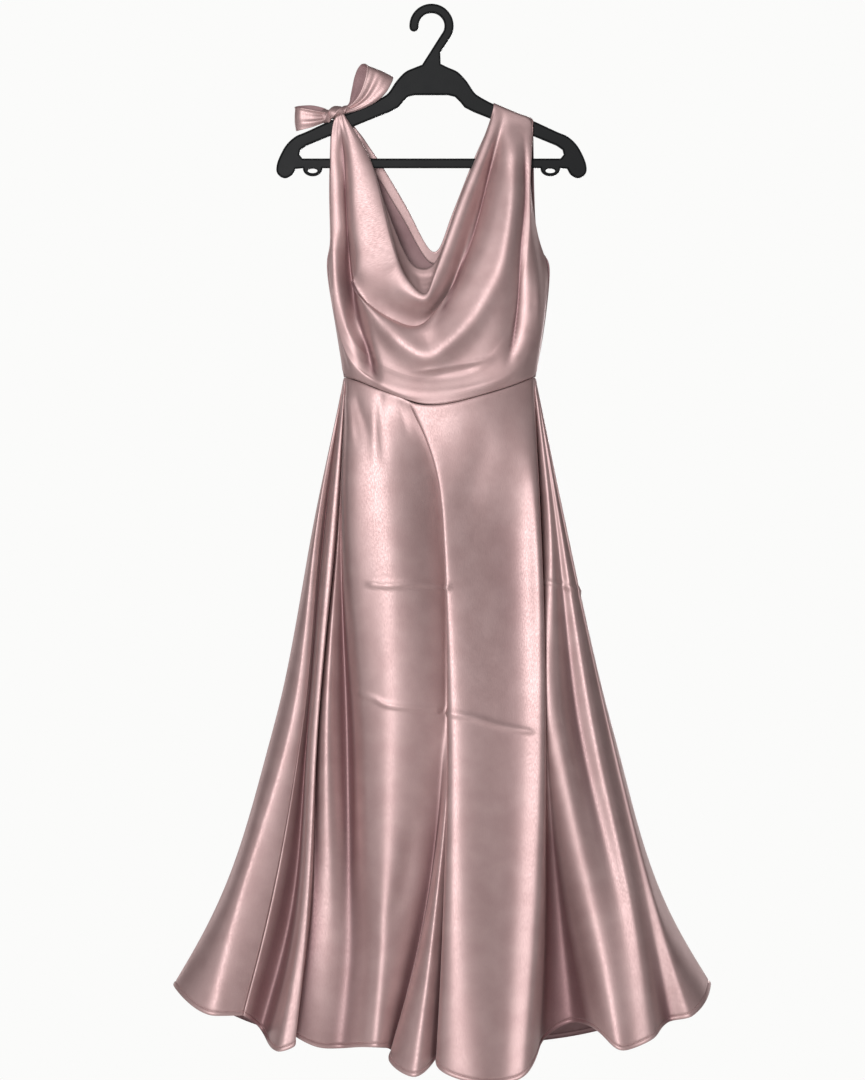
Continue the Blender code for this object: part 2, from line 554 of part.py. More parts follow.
def build():
    """Model the dress and its hanger."""
    for old in list(bpy.data.objects):
        bpy.data.objects.remove(old)
    parts = bpy.data.collections.new("Dress on hanger")
    cutters = bpy.data.collections.new("Cutters")
    for collection in (parts, cutters):
        bpy.context.scene.collection.children.link(collection)
    plastic = material("Black moulded plastic", (0.02, 0.02, 0.022), 0.5)
    satin = material("Dusty rose satin", (0.55, 0.36, 0.36), 0.4, 0.2)
    make_hanger(parts, plastic)

    front_last = len(SKIRT_FRONT) - 1
    all_last = front_last + len(SKIRT_BACK) + 1
    sheet("skirt_front", skirt_surface(0, front_last, SKIRT_FRONT_COLUMNS), parts, satin)
    sheet("skirt_back", skirt_surface(front_last, all_last, SKIRT_BACK_COLUMNS), parts, satin)

    front = bodice_surface(FRONT_DRAPES, False, FRONT_ACROSS, FRONT_DOWN)
    sheet("bodice_front", front, parts, satin)
    bindings = moved_out(front, CLOTH + SEAM)
    sheet("armhole_binding_left", bindings[BINDING_ROWS, :2], parts, satin)
    sheet("armhole_binding_right", bindings[BINDING_ROWS, -2:], parts, satin)

    back = bodice_surface(BACK_DRAPES, True, BACK_ACROSS, BACK_DOWN)
    sheet("bodice_back", back, parts, satin)
    facings = moved_out(back, CLOTH + SEAM)
    sheet("back_neck_facing", facings[FACING_ROWS, FACING_COLUMNS], parts, satin)
    make_bow(parts, cutters, satin)


build()
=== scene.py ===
"""Finish of an evening dress on its hanger: cowl bodice, tied bow, fluted satin skirt and moulded hanger.

Tables are in millimetres: across to the viewer's right, depth towards the back, height up. The origin is
the underside of the hook's crest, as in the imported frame.
"""

from __future__ import annotations

import logging
import math
from dataclasses import dataclass, field, replace
from enum import Enum

import bmesh
import bpy
import numpy as np
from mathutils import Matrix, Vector

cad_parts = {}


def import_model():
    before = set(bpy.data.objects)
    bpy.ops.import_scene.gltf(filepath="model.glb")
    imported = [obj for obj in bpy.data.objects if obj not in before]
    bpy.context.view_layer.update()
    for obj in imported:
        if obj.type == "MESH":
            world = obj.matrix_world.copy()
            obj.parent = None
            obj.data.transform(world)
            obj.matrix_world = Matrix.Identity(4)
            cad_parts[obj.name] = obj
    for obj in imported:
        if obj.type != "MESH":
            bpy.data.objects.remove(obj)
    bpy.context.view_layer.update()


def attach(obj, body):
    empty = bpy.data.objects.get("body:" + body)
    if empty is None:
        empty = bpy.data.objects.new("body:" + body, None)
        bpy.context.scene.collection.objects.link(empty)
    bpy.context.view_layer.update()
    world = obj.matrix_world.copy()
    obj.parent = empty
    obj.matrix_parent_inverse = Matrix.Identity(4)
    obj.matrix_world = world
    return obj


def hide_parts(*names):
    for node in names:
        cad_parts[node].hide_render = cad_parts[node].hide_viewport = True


LOG = logging.getLogger("evening_dress")
BODY = "root"
MM = 0.001
METRE = 1000.0  # in millimetres
CLOTH = 1.0  # thickness of the satin with its turned edges

Pair = tuple[float, float]
Triple = tuple[float, float, float]


class Side(Enum):
    """The front or the back of the dress, and which way out is along the depth."""

    FRONT = -1
    BACK = 1


class Slot(Enum):
    """Material slots of the record."""

    SATIN = "satin"
    PLASTIC = "hanger_plastic"


# -------------------- materials


def linear(colour: str) -> tuple[float, float, float, float]:
    """Turn an sRGB hex colour to linear values.

    Args:
        colour: Six hex digits after a hash.

    Returns:
        Red, green, blue and alpha, each 0 to 1.
    """
    parts = [int(colour[i : i + 2], 16) / 255 for i in (1, 3, 5)]
    return (*(p / 12.92 if p <= 0.04045 else ((p + 0.055) / 1.055) ** 2.4 for p in parts), 1.0)


def add_node(
    tree: bpy.types.NodeTree, kind: str, links: dict | None = None, **settings: str
) -> bpy.types.Node:
    """Add a node with its settings and links.

    Args:
        tree: The node tree.
        kind: The node's type name.
        links: Input name or number to an output socket, or to a constant.
        **settings: Attributes to set on it.

    Returns:
        The new node.
    """
    node = tree.nodes.new(kind)
    for name, value in settings.items():
        setattr(node, name, value)
    for name, value in (links or {}).items():
        if isinstance(value, bpy.types.NodeSocket):
            tree.links.new(value, node.inputs[name])
        else:
            node.inputs[name].default_value = value
    return node


def new_material(name: str) -> tuple[bpy.types.Material, bpy.types.NodeTree]:
    """Make an empty node material.

    Args:
        name: The material's name.

    Returns:
        The material and its node tree.
    """
    made = bpy.data.materials.new(name)
    made.use_nodes = True
    made.node_tree.nodes.clear()
    return made, made.node_tree


@dataclass(frozen=True)
class CharmeuseSatin:
    """Polyester charmeuse satin, woven with long warp floats.

    The floats lie side by side, so the face is smooth and shines in broad soft bands that run with the
    folds, while the colour stays a muted dusty rose in the shade.
    """

    face: str = "#C0A2A1"
    shade: str = "#B79897"
    painted_fold_shade: str = "#6B4449"  # painted shade deep in a fold, where light is lost between the walls
    sheen: str = "#FBEFED"
    name: str = "Charmeuse satin"
    roughness: float = 0.53
    metallic: float = 0.62
    coat: float = 0.16
    thread_mm: float = 1.1  # a real thread is 0.1 mm, drawn coarse enough to show
    slub_mm: float = 16.0  # length over which a thread swells
    crumple_mm: float = 34.0
    grain_mm: float = 1.5  # groups of floats that catch the light together, drawn coarse enough to show
    grain_length_mm: float = 5.0
    uneven: float = 0.05  # how far the roughness changes over the grain

    def build(self) -> bpy.types.Material:
        """Make the satin.

        Returns:
            The material.
        """
        made, tree = new_material(self.name)
        cloth = add_node(tree, "ShaderNodeUVMap", uv_map="cloth").outputs["UV"]
        woven = []
        sizes = ((self.thread_mm, self.slub_mm, 2.0), (self.grain_mm, self.grain_length_mm, 1.0))
        for wide, long, detail in sizes:
            laid = add_node(tree, "ShaderNodeMapping", {
                "Vector": cloth, "Scale": (METRE / wide, METRE / long, 1.0),
            })
            noise = add_node(tree, "ShaderNodeTexNoise", {
                "Vector": laid.outputs["Vector"], "Scale": 1.0, "Detail": detail, "Roughness": 0.6,
            }, noise_dimensions="2D")
            woven.append(noise.outputs["Fac"])
        slub, grain = woven
        place = add_node(tree, "ShaderNodeTexCoord").outputs["Object"]
        crumple = add_node(tree, "ShaderNodeTexNoise", {
            "Vector": place, "Scale": METRE / self.crumple_mm, "Detail": 2.0, "Roughness": 0.45,
        }).outputs["Fac"]
        dye = add_node(tree, "ShaderNodeMapRange", {
            "Value": crumple, "From Min": 0.35, "From Max": 0.65, "To Min": 0.0, "To Max": 1.0,
        })
        dyed = add_node(tree, "ShaderNodeMix", {
            "Factor": dye.outputs["Result"], 6: linear(self.shade), 7: linear(self.face),
        }, data_type="RGBA")
        # shade painted into the colour: the fold attribute mixes it towards the painted fold shade deep in
        # folds and on trough floors
        fold = add_node(tree, "ShaderNodeAttribute", attribute_name="fold")
        colour = add_node(tree, "ShaderNodeMix", {
            "Factor": fold.outputs["Fac"], 6: dyed.outputs[2], 7: linear(self.painted_fold_shade),
        }, data_type="RGBA")
        grazing = add_node(tree, "ShaderNodeMapRange", {
            "Value": grain, "From Min": 0.3, "From Max": 0.7,
            "To Min": self.roughness - self.uneven, "To Max": self.roughness + self.uneven,
        })
        normal = {}
        for height, strength, depth_mm in ((crumple, 0.2, 2.0), (slub, 0.25, 0.12), (grain, 0.26, 0.2)):
            bump = add_node(tree, "ShaderNodeBump", {
                "Height": height, "Strength": strength, "Distance": depth_mm * MM, **normal,
            })
            normal = {"Normal": bump.outputs["Normal"]}
        warp = add_node(tree, "ShaderNodeTangent", direction_type="UV_MAP", uv_map="cloth")
        shader = add_node(tree, "ShaderNodeBsdfPrincipled", {
            "Base Color": colour.outputs[2], "Roughness": grazing.outputs["Result"],
            "Metallic": self.metallic,
            "IOR": 1.6, "Specular IOR Level": 0.6, "Specular Tint": linear(self.sheen),
            "Coat Weight": self.coat, "Coat Roughness": 0.42, "Coat IOR": 1.6,
            "Anisotropic": 0.3, "Anisotropic Rotation": 0.25, "Tangent": warp.outputs["Tangent"],
            "Sheen Weight": 0.12, "Sheen Roughness": 0.4, "Sheen Tint": linear(self.sheen), **normal,
        })
        add_node(tree, "ShaderNodeOutputMaterial", {"Surface": shader.outputs["BSDF"]})
        return made


def crepe_back_and_inner_shade() -> CharmeuseSatin:
    """Give the satin's dull reverse, where short floats of crepe weft scatter the light, its colours darkened
    partly by painted shade for the inside of the dress.

    Returns:
        The same cloth with the reverse's colours and gloss.
    """
    # the darker colours are partly the reverse's own duller tone and partly painted shade for the inside of
    # the dress
    return CharmeuseSatin(
        face="#9C7C7E", shade="#8A6A6D", painted_fold_shade="#664549", name="Crepe reverse of the satin",
        roughness=0.72, metallic=0.15, coat=0.0,
    )


@dataclass(frozen=True)
class MouldedPolypropylene:
    """Black polypropylene from a spark-eroded mould: dull, with a fine even grain and softly lit edges."""

    colour: str = "#0D0E0F"
    rubbed: str = "#161719"
    roughness: float = 0.42
    uneven: float = 0.05  # how far the roughness changes where the plastic flowed
    grain_mm: float = 0.9  # the real grain is 0.1 mm, drawn coarse enough to show
    flow_mm: float = 26.316  # length of the streaks in which the plastic flowed

    def build(self) -> bpy.types.Material:
        """Make the plastic.

        Returns:
            The material.
        """
        made, tree = new_material("Moulded polypropylene")
        place = add_node(tree, "ShaderNodeTexCoord").outputs["Object"]
        grain = add_node(tree, "ShaderNodeTexNoise", {
            "Vector": place, "Scale": METRE / self.grain_mm, "Detail": 2.0, "Roughness": 0.6,
        })
        flow = add_node(tree, "ShaderNodeTexNoise", {
            "Vector": place, "Scale": METRE / self.flow_mm, "Detail": 4.0, "Roughness": 0.6,
        })
        colour = add_node(tree, "ShaderNodeMix", {
            "Factor": flow.outputs["Fac"], 6: linear(self.colour), 7: linear(self.rubbed),
        }, data_type="RGBA")
        rough = add_node(tree, "ShaderNodeMapRange", {
            "Value": flow.outputs["Fac"],
            "To Min": self.roughness - self.uneven, "To Max": self.roughness + self.uneven,
        })
        bump = add_node(tree, "ShaderNodeBump", {
            "Height": grain.outputs["Fac"], "Strength": 0.3, "Distance": 0.0001,
        })
        shader = add_node(tree, "ShaderNodeBsdfPrincipled", {
            "Base Color": colour.outputs[2], "Roughness": rough.outputs["Result"],
            "IOR": 1.49, "Specular IOR Level": 0.08, "Normal": bump.outputs["Normal"],
        })
        add_node(tree, "ShaderNodeOutputMaterial", {"Surface": shader.outputs["BSDF"]})
        return made


@dataclass(frozen=True)
class SpunPolyesterThread:
    """Sewing thread in the cloth's own colour, duller than the satin because its twist scatters light."""

    colour: str = "#8E6769"
    lit: str = "#B48F8F"
    tone_mm: float = 15.08  # between two light stretches, as the twist of 1.2 mm is too fine to show
    wave_count: float = 10.0  # radians a metre of a wave node whose scale is 1

    def build(self) -> bpy.types.Material:
        """Make the thread.

        Returns:
            The material.
        """
        made, tree = new_material("Spun polyester thread")
        place = add_node(tree, "ShaderNodeTexCoord").outputs["Object"]
        twist = add_node(tree, "ShaderNodeTexWave", {
            "Vector": place, "Scale": 2 * math.pi * METRE / self.wave_count / self.tone_mm, "Distortion": 1.0,
        }, bands_direction="DIAGONAL")
        colour = add_node(tree, "ShaderNodeMix", {
            "Factor": twist.outputs["Fac"], 6: linear(self.colour), 7: linear(self.lit),
        }, data_type="RGBA")
        shader = add_node(tree, "ShaderNodeBsdfPrincipled", {
            "Base Color": colour.outputs[2], "Roughness": 0.7, "Sheen Weight": 0.2,
        })
        add_node(tree, "ShaderNodeOutputMaterial", {"Surface": shader.outputs["BSDF"]})
        return made


@dataclass(frozen=True)
class PaintedBoard:
    """Matt white paint on a board, the studio's floor."""

    colour: str = "#F4F3F1"
    roughness: float = 0.7

    def build(self) -> bpy.types.Material:
        """Make the paint.

        Returns:
            The material.
        """
        made, tree = new_material("Painted studio floor")
        shader = add_node(tree, "ShaderNodeBsdfPrincipled", {
            "Base Color": linear(self.colour), "Roughness": self.roughness,
        })
        add_node(tree, "ShaderNodeOutputMaterial", {"Surface": shader.outputs["BSDF"]})
        return made


@dataclass(frozen=True)
class Finishes:
    """The finishes, each built once."""

    satin: bpy.types.Material
    # the reverse, whose darker colour is partly painted shade inside the dress
    reverse: bpy.types.Material
    plastic: bpy.types.Material
    thread: bpy.types.Material


# -------------------- geometry


def spline(knots: np.ndarray, values: np.ndarray, at: np.ndarray) -> np.ndarray:
    """Read a smooth curve that never overshoots a fold.

    Args:
        knots: Parameter of each known point.
        values: The known points, a row each.
        at: Parameters to read.

    Returns:
        A row for each parameter.
    """
    knots = np.asarray(knots, float)
    values = np.asarray(values, float)
    at = np.asarray(at, float)
    step = np.diff(knots)[:, None]
    slope = np.diff(values, axis=0) / step
    tangent = np.empty_like(values)
    tangent[0], tangent[-1] = slope[0], slope[-1]
    mean = (slope[:-1] * step[1:] + slope[1:] * step[:-1]) / (step[1:] + step[:-1])
    limit = 3 * np.minimum(abs(slope[:-1]), abs(slope[1:]))
    tangent[1:-1] = np.where(slope[:-1] * slope[1:] > 0, np.clip(mean, -limit, limit), 0)
    i = np.clip(np.searchsorted(knots, at, side="right") - 1, 0, len(knots) - 2)
    h = step[i]
    t = (at[:, None] - knots[i][:, None]) / h
    return (
        (2 * t**3 - 3 * t**2 + 1) * values[i]
        + (t**3 - 2 * t**2 + t) * h * tangent[i]
        + (3 * t**2 - 2 * t**3) * values[i + 1]
        + (t**3 - t**2) * h * tangent[i + 1]
    )


def between(knots: np.ndarray, steps: int) -> np.ndarray:
    """Split each stretch between two knots into equal steps.

    Args:
        knots: Parameters in rising order.
        steps: Steps in each stretch.

    Returns:
        All the parameters, the knots among them.
    """
    return np.interp(np.arange((len(knots) - 1) * steps + 1) / steps, np.arange(len(knots)), knots)


def added_up(steps: np.ndarray) -> np.ndarray:
    """Add up steps along their first axis, from a 0 before them."""
    return np.concatenate([np.zeros((1, *steps.shape[1:])), np.cumsum(steps, axis=0)])


def hump(at: np.ndarray, centre: float, width: float) -> np.ndarray:
    """Read a smooth hump, 1 at its centre and fading over its width."""
    return np.exp(-(((at - centre) / width) ** 2))


def eased(grid: np.ndarray, axis: int, rounds: int, pull: np.ndarray | float = 1.0) -> np.ndarray:
    """Soften a grid along one direction, with its border left in place.

    Args:
        grid: Points in rows and columns.
        axis: 0 softens down the columns, 1 along the rows.
        rounds: How often each point is drawn towards its neighbours.
        pull: Share of the full draw, for all points or as an array that fits the grid.

    Returns:
        The softened grid.
    """
    share = np.swapaxes(np.broadcast_to(pull, grid.shape[:2]), 0, axis)[1:-1, :, None]
    grid = np.swapaxes(grid, 0, axis).copy()
    for _ in range(rounds):
        grid[1:-1] += share * ((grid[:-2] + grid[2:]) / 4 - grid[1:-1] / 2)
    return np.swapaxes(grid, 0, axis)


def normals(grid: np.ndarray) -> np.ndarray:
    """Find the unit normals of a grid, towards the viewer on a front.

    Args:
        grid: Points in rows down and columns across.

    Returns:
        A normal for each point.
    """
    normal = np.cross(np.gradient(grid, axis=0), np.gradient(grid, axis=1))
    length = np.linalg.norm(normal, axis=2, keepdims=True)
    return normal / np.maximum(length, 1e-9)


def moved_out(grid: np.ndarray, distance: float | np.ndarray) -> np.ndarray:
    """Move a grid along its own normals.

    Args:
        grid: Points in rows and columns.
        distance: How far, in millimetres, for all points or for each.

    Returns:
        The moved grid.
    """
    return grid + normals(grid) * np.asarray(distance)[..., None]


def run_length(grid: np.ndarray, axis: int) -> np.ndarray:
    """Measure the mean way along a grid from its first row or column.

    Args:
        grid: Points in rows and columns.
        axis: 0 measures down the columns, 1 along the rows.

    Returns:
        A distance for each row or column.
    """
    return added_up(np.linalg.norm(np.diff(grid, axis=axis), axis=2).mean(1 - axis))


def drawn_in(from_seam: np.ndarray) -> np.ndarray:
    """Find how cloth turns in at a seam and puffs out beside it.

    Args:
        from_seam: Distances from the seam, in millimetres.

    Returns:
        How far the cloth stands out at each, less than 0 where it turns in.
    """
    deep, turn, puff, puff_at, puff_width = 1.2, 2.4, 0.4, 6, 3
    return puff * hump(from_seam, puff_at, puff_width) - deep * np.clip(1 - from_seam / turn, 0, 1) ** 2


@dataclass(frozen=True)
class Patch:
    """A part of a panel with soft borders, by (place, share) steps over its columns and its rows."""

    across: tuple[Pair, ...] = ((0, 1),)
    down: tuple[Pair, ...] = ((0, 1),)

    def share(self, grid: np.ndarray) -> np.ndarray:
        """Find how far each point of a panel belongs to the patch.

        Args:
            grid: The panel's points.

        Returns:
            0 outside to 1 inside, in rows and columns.
        """
        down, across = (
            np.interp(np.linspace(0, 1, count), *zip(*steps))
            for count, steps in zip(grid.shape, (self.down, self.across))
        )
        return down[:, None] * across


@dataclass(frozen=True)
class Crease:
    """A long soft trough or ridge pressed into the cloth along a line.

    The line runs through (across, height) places. A positive rise lifts a ridge and a negative one sinks a
    trough. Each end fades out unless it is cut off there, as at a seam.
    """

    line: tuple[Pair, ...]
    width: float
    rise: float
    ends: tuple[bool, bool] = (True, True)
    right_width: float = 0.0  # width to the right of the line's run, if it differs
    crisp: bool = False  # comes to an edge along its line, as a tight fold does
    fade: float = 0.35  # share of the length over which an end fades
    samples: int = 8  # straight steps for each given place
    reach: Pair = (3, 7)  # widths from the line at which a soft and a crisp crease have died away
    blunt: float = 0.8  # radius of a crisp crease's edge

    def height_at(self, points: np.ndarray) -> np.ndarray:
        """Work out how far the crease lifts each point.

        Args:
            points: Rows of across, depth and height.

        Returns:
            The lift of each point along its normal.
        """
        knots = np.linspace(0, 1, len(self.line))
        line = spline(knots, np.array(self.line, float), np.linspace(0, 1, self.samples * len(self.line)))
        place = points[:, [0, 2]]
        reach = self.reach[self.crisp] * max(self.width, self.right_width)
        low, high = line.min(0) - reach, line.max(0) + reach
        near = np.all((place > low) & (place < high), axis=1)
        lift = np.zeros(len(points))
        if not near.any():
            return lift
        steps = line[1:] - line[:-1]
        lengths = np.linalg.norm(steps, axis=1)
        before = added_up(lengths)
        nearest = np.full(near.sum(), np.inf)
        along = np.zeros(near.sum())
        wide = np.full(near.sum(), self.width)
        for start, step, length, begun in zip(line, steps, lengths, before):
            share = np.clip((place[near] - start) @ step / length**2, 0, 1)
            away = np.linalg.norm(place[near] - start - share[:, None] * step, axis=1)
            closer = away < nearest
            nearest[closer] = away[closer]
            along[closer] = (begun + share * length)[closer] / before[-1]
            if self.right_width:
                across = (place[near] - start) @ np.array([step[1], -step[0]])
                wide[closer] = np.where(across > 0, self.right_width, self.width)[closer]
        fade = np.ones(len(along))
        for fades, from_end in zip(self.ends, (along, 1 - along)):
            if fades:
                fade *= np.clip(from_end / self.fade, 0, 1)
        fade = fade * fade * (3 - 2 * fade)
        profile = np.exp(-np.hypot(nearest, self.blunt) / wide) if self.crisp else hump(nearest, 0, wide)
        lift[near] = self.rise * profile * fade
        return lift


TUCK = {"ends": (False, True), "crisp": True, "fade": 0.6}  # a tight fold that starts at a seam


def creased(
    grid: np.ndarray, creases: tuple[Crease, ...], free: np.ndarray | float = 1.0, lean: float = 1.0,
    calm: int = 10,
) -> np.ndarray:
    """Press creases into a grid.

    Args:
        grid: Points in rows and columns.
        creases: What to press in.
        free: Share of each crease's rise that a point takes.
        lean: How far the lift may lean off the depth, from 0, not at all, to 1, along the cloth's normal.
        calm: Rounds of easing that even out the normals.

    Returns:
        The creased grid.
    """
    flat = grid.reshape(-1, 3)
    lift = sum(crease.height_at(flat) for crease in creases).reshape(grid.shape[:2])
    out = normals(eased(eased(grid, 1, calm), 0, calm)) * (lean, 1.0, lean)
    out /= np.maximum(np.linalg.norm(out, axis=2, keepdims=True), 1e-9)
    return grid + out * (lift * free)[..., None]


def trough_shade_mask(
    grid: np.ndarray, creases: tuple[Crease, ...], deep: float = -6, width: float = 3.2
) -> np.ndarray:
    """Mark the floor of each tight trough, where shade is painted into the colour as no light reaches the
    cloth.

    Args:
        grid: Points in rows and columns.
        creases: The creases pressed into it.
        deep: A crease that sinks below this is a trough.
        width: Width of the mark.

    Returns:
        0 on the open cloth to 1 on a trough's floor.
    """
    trough_shade = np.zeros(grid.shape[:2])
    for crease in creases:
        if crease.rise < deep:
            floor = replace(crease, width=width, right_width=0.0, rise=1.0, crisp=False)
            trough_shade += floor.height_at(grid.reshape(-1, 3)).reshape(trough_shade.shape)
    return trough_shade


def edge_band(grid: np.ndarray, width: float, rows: int = 8, most: float = 0.6) -> np.ndarray:
    """Take a band of even width along a grid's first row.

    Args:
        grid: Points in rows and columns.
        width: The band's width, in millimetres.
        rows: Rows of the band.
        most: Share of a short column that the band may take.

    Returns:
        The band's points, its first row on the grid's edge.
    """
    reach = added_up(np.linalg.norm(np.diff(grid, axis=0), axis=2))
    band = np.empty((rows, grid.shape[1], 3))
    for column in range(grid.shape[1]):
        at = np.linspace(0, min(width, most * reach[-1, column]), rows)
        for axis in range(3):
            band[:, column, axis] = np.interp(at, reach[:, column], grid[:, column, axis])
    return band


def fold_shade_mask(grid: np.ndarray, full: float = 6.0, open_share: float = 0.15) -> np.ndarray:
    """Find how deep each point lies between the folds beside it, as the mask for shade painted into the
    colour there.

    Args:
        grid: Points in rows and columns.
        full: Depth that counts as wholly inside a fold, in millimetres.
        open_share: Share of that depth which still counts as open cloth.

    Returns:
        0 on the open cloth to 1 deep in a fold, where shade is painted most.
    """
    down_rounds, across_rounds = 8, 110  # enough easing to level the folds but not the body
    level = eased(eased(grid, 0, down_rounds), 1, across_rounds)
    behind = -np.sum((grid - level) * normals(level), axis=2)
    return np.clip(behind / full - open_share, 0, 1)


def add_object(name: str, data: bpy.types.ID, finish: bpy.types.Material | None = None) -> bpy.types.Object:
    """Put a new object in the scene.

    Args:
        name: The object's name.
        data: Its mesh, curve, light or camera.
        finish: Its material.

    Returns:
        The object.
    """
    if finish is not None:
        data.materials.append(finish)
    made = bpy.data.objects.new(name, data)
    bpy.context.scene.collection.objects.link(made)
    return made


def settled(piece: bpy.types.Object, node: str = "") -> bpy.types.Object:
    """Let a piece ride on the one body, and hide the CAD node that it stands for.

    Args:
        piece: The piece.
        node: The CAD node that it replaces, if any.

    Returns:
        The same piece.
    """
    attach(piece, BODY)
    if node:
        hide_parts(node)
    return piece


def evaluated_mesh(made: bpy.types.Object) -> bpy.types.Mesh:
    """Turn an object, with its modifiers or its curve's bevel, to a plain mesh."""
    return bpy.data.meshes.new_from_object(made.evaluated_get(bpy.context.evaluated_depsgraph_get()))


def woven_mesh(name: str, points: np.ndarray, faces: np.ndarray, places: np.ndarray) -> bpy.types.Mesh:
    """Make a mesh with a UV map that says where each point lies on the flat cloth.

    Args:
        name: The mesh's name.
        points: Its points, in millimetres.
        faces: Numbers of the four points round each face.
        places: Across and down on the cloth for each point, in metres.

    Returns:
        The mesh.
    """
    mesh = bpy.data.meshes.new(name)
    mesh.from_pydata((points.reshape(-1, 3) * MM).tolist(), [], faces.reshape(-1, 4).tolist())
    corners = np.empty(len(mesh.loops), np.int32)
    mesh.loops.foreach_get("vertex_index", corners)
    mesh.uv_layers.new(name="cloth").data.foreach_set("uv", places.reshape(-1, 2)[corners].ravel())
    mesh.shade_smooth()
    return mesh


def closed(mesh: bpy.types.Mesh, parts: list[bpy.types.Mesh], merge: float) -> bpy.types.Mesh:
    """Join parts to one closed mesh whose faces point outwards.

    Args:
        mesh: The mesh to fill.
        parts: What goes into it.
        merge: Points nearer than this are one, in metres.

    Returns:
        The same mesh, shaded smooth.
    """
    work = bmesh.new()
    for part in parts:
        work.from_mesh(part)
    bmesh.ops.remove_doubles(work, verts=work.verts, dist=merge)
    bmesh.ops.recalc_face_normals(work, faces=work.faces)
    work.to_mesh(mesh)
    work.free()
    mesh.shade_smooth()
    return mesh


def cloth_object(
    name: str, grid: np.ndarray, finish: Finishes, thickness: float = CLOTH,
    trough_shade: np.ndarray | float = 0.0, painted_shade_share: float = 0.75,
) -> bpy.types.Object:
    """Make a thin cloth shell on a grid of points, satin outside and dull on its reverse.

    Args:
        name: The piece's name.
        grid: Points in rows down and columns across, in millimetres.
        finish: The finishes to take it from.
        thickness: Thickness of the shell, in millimetres.
        trough_shade: Painted shade where the cloth lies deep in a trough, from 0 to 1.
        painted_shade_share: Share of the colour that painted shade takes deep in a fold.

    Returns:
        The object, with a UV map in metres of cloth that its weave follows.
    """
    index = np.arange(grid[..., 0].size).reshape(grid.shape[:2])
    faces = np.stack([index[:-1, :-1], index[1:, :-1], index[1:, 1:], index[:-1, 1:]], axis=-1)
    u, v = run_length(grid, 1) * MM, run_length(grid, 0) * -MM
    mesh = woven_mesh(name, grid, faces, np.stack(np.broadcast_arrays(u[None, :], v[:, None]), axis=-1))
    # paint shade into the colour deep in folds and on trough floors, through the fold attribute
    shade = np.clip(fold_shade_mask(grid) + trough_shade, 0, 1) * painted_shade_share
    mesh.attributes.new("fold", "FLOAT", "POINT").data.foreach_set("value", shade.astype(np.float32).ravel())
    made = add_object(name, mesh, finish.satin)
    # the reverse, whose darker colour is partly painted shade inside the dress
    mesh.materials.append(finish.reverse)
    shell = made.modifiers.new("Cloth", "SOLIDIFY")
    shell.thickness = thickness * MM
    shell.offset = 0
    shell.material_offset = 1
    return made


# -------------------- waist


@dataclass(frozen=True)
class Waist:
    """The waist seam: an ellipse in plan, which dips at the front and runs level behind."""

    centre: float = 11.8
    half_width: float = 138.5
    front_depth: float = 46.0
    back_depth: float = 40.0
    back_height: float = -528.0
    dip: tuple[Pair, ...] = (
        (-127, -528), (-108, -533.6), (-73, -548), (-46, -557), (-28, -565.5), (-9, -570), (20, -568.4),
        (70, -555.4), (114, -542.3), (150.4, -528),
    )

    def height(self, across: np.ndarray, side: Side) -> np.ndarray:
        """Find the seam's height.

        Args:
            across: Places across the dress.
            side: Front or back.

        Returns:
            The height at each place.
        """
        if side is Side.BACK:
            return np.full(len(across), self.back_height)
        dip = np.array(self.dip, float)
        return spline(dip[:, 0], dip[:, 1:], across)[:, 0]

    def point(self, share: float, side: Side) -> np.ndarray:
        """Find a point on the seam.

        Args:
            share: Share of the half turn, left to right in front and right to left behind.
            side: Front or back.

        Returns:
            Across, depth and height.
        """
        angle = math.pi * share
        depth = self.back_depth if side is Side.BACK else self.front_depth
        across = self.centre + side.value * self.half_width * math.cos(angle)
        height = self.height(np.array([across]), side)[0]
        return np.array([across, side.value * depth * math.sin(angle), height])


# -------------------- skirt


@dataclass(frozen=True)
class FoldLine:
    """One fold line of the skirt, given at the hip, knee and calf levels and at the hem."""

    waist: float  # share of the half turn of the waist seam
    across: tuple[float, float, float, float]
    depth: tuple[float, float, float, float]
    hem: float
    side: Side = Side.FRONT


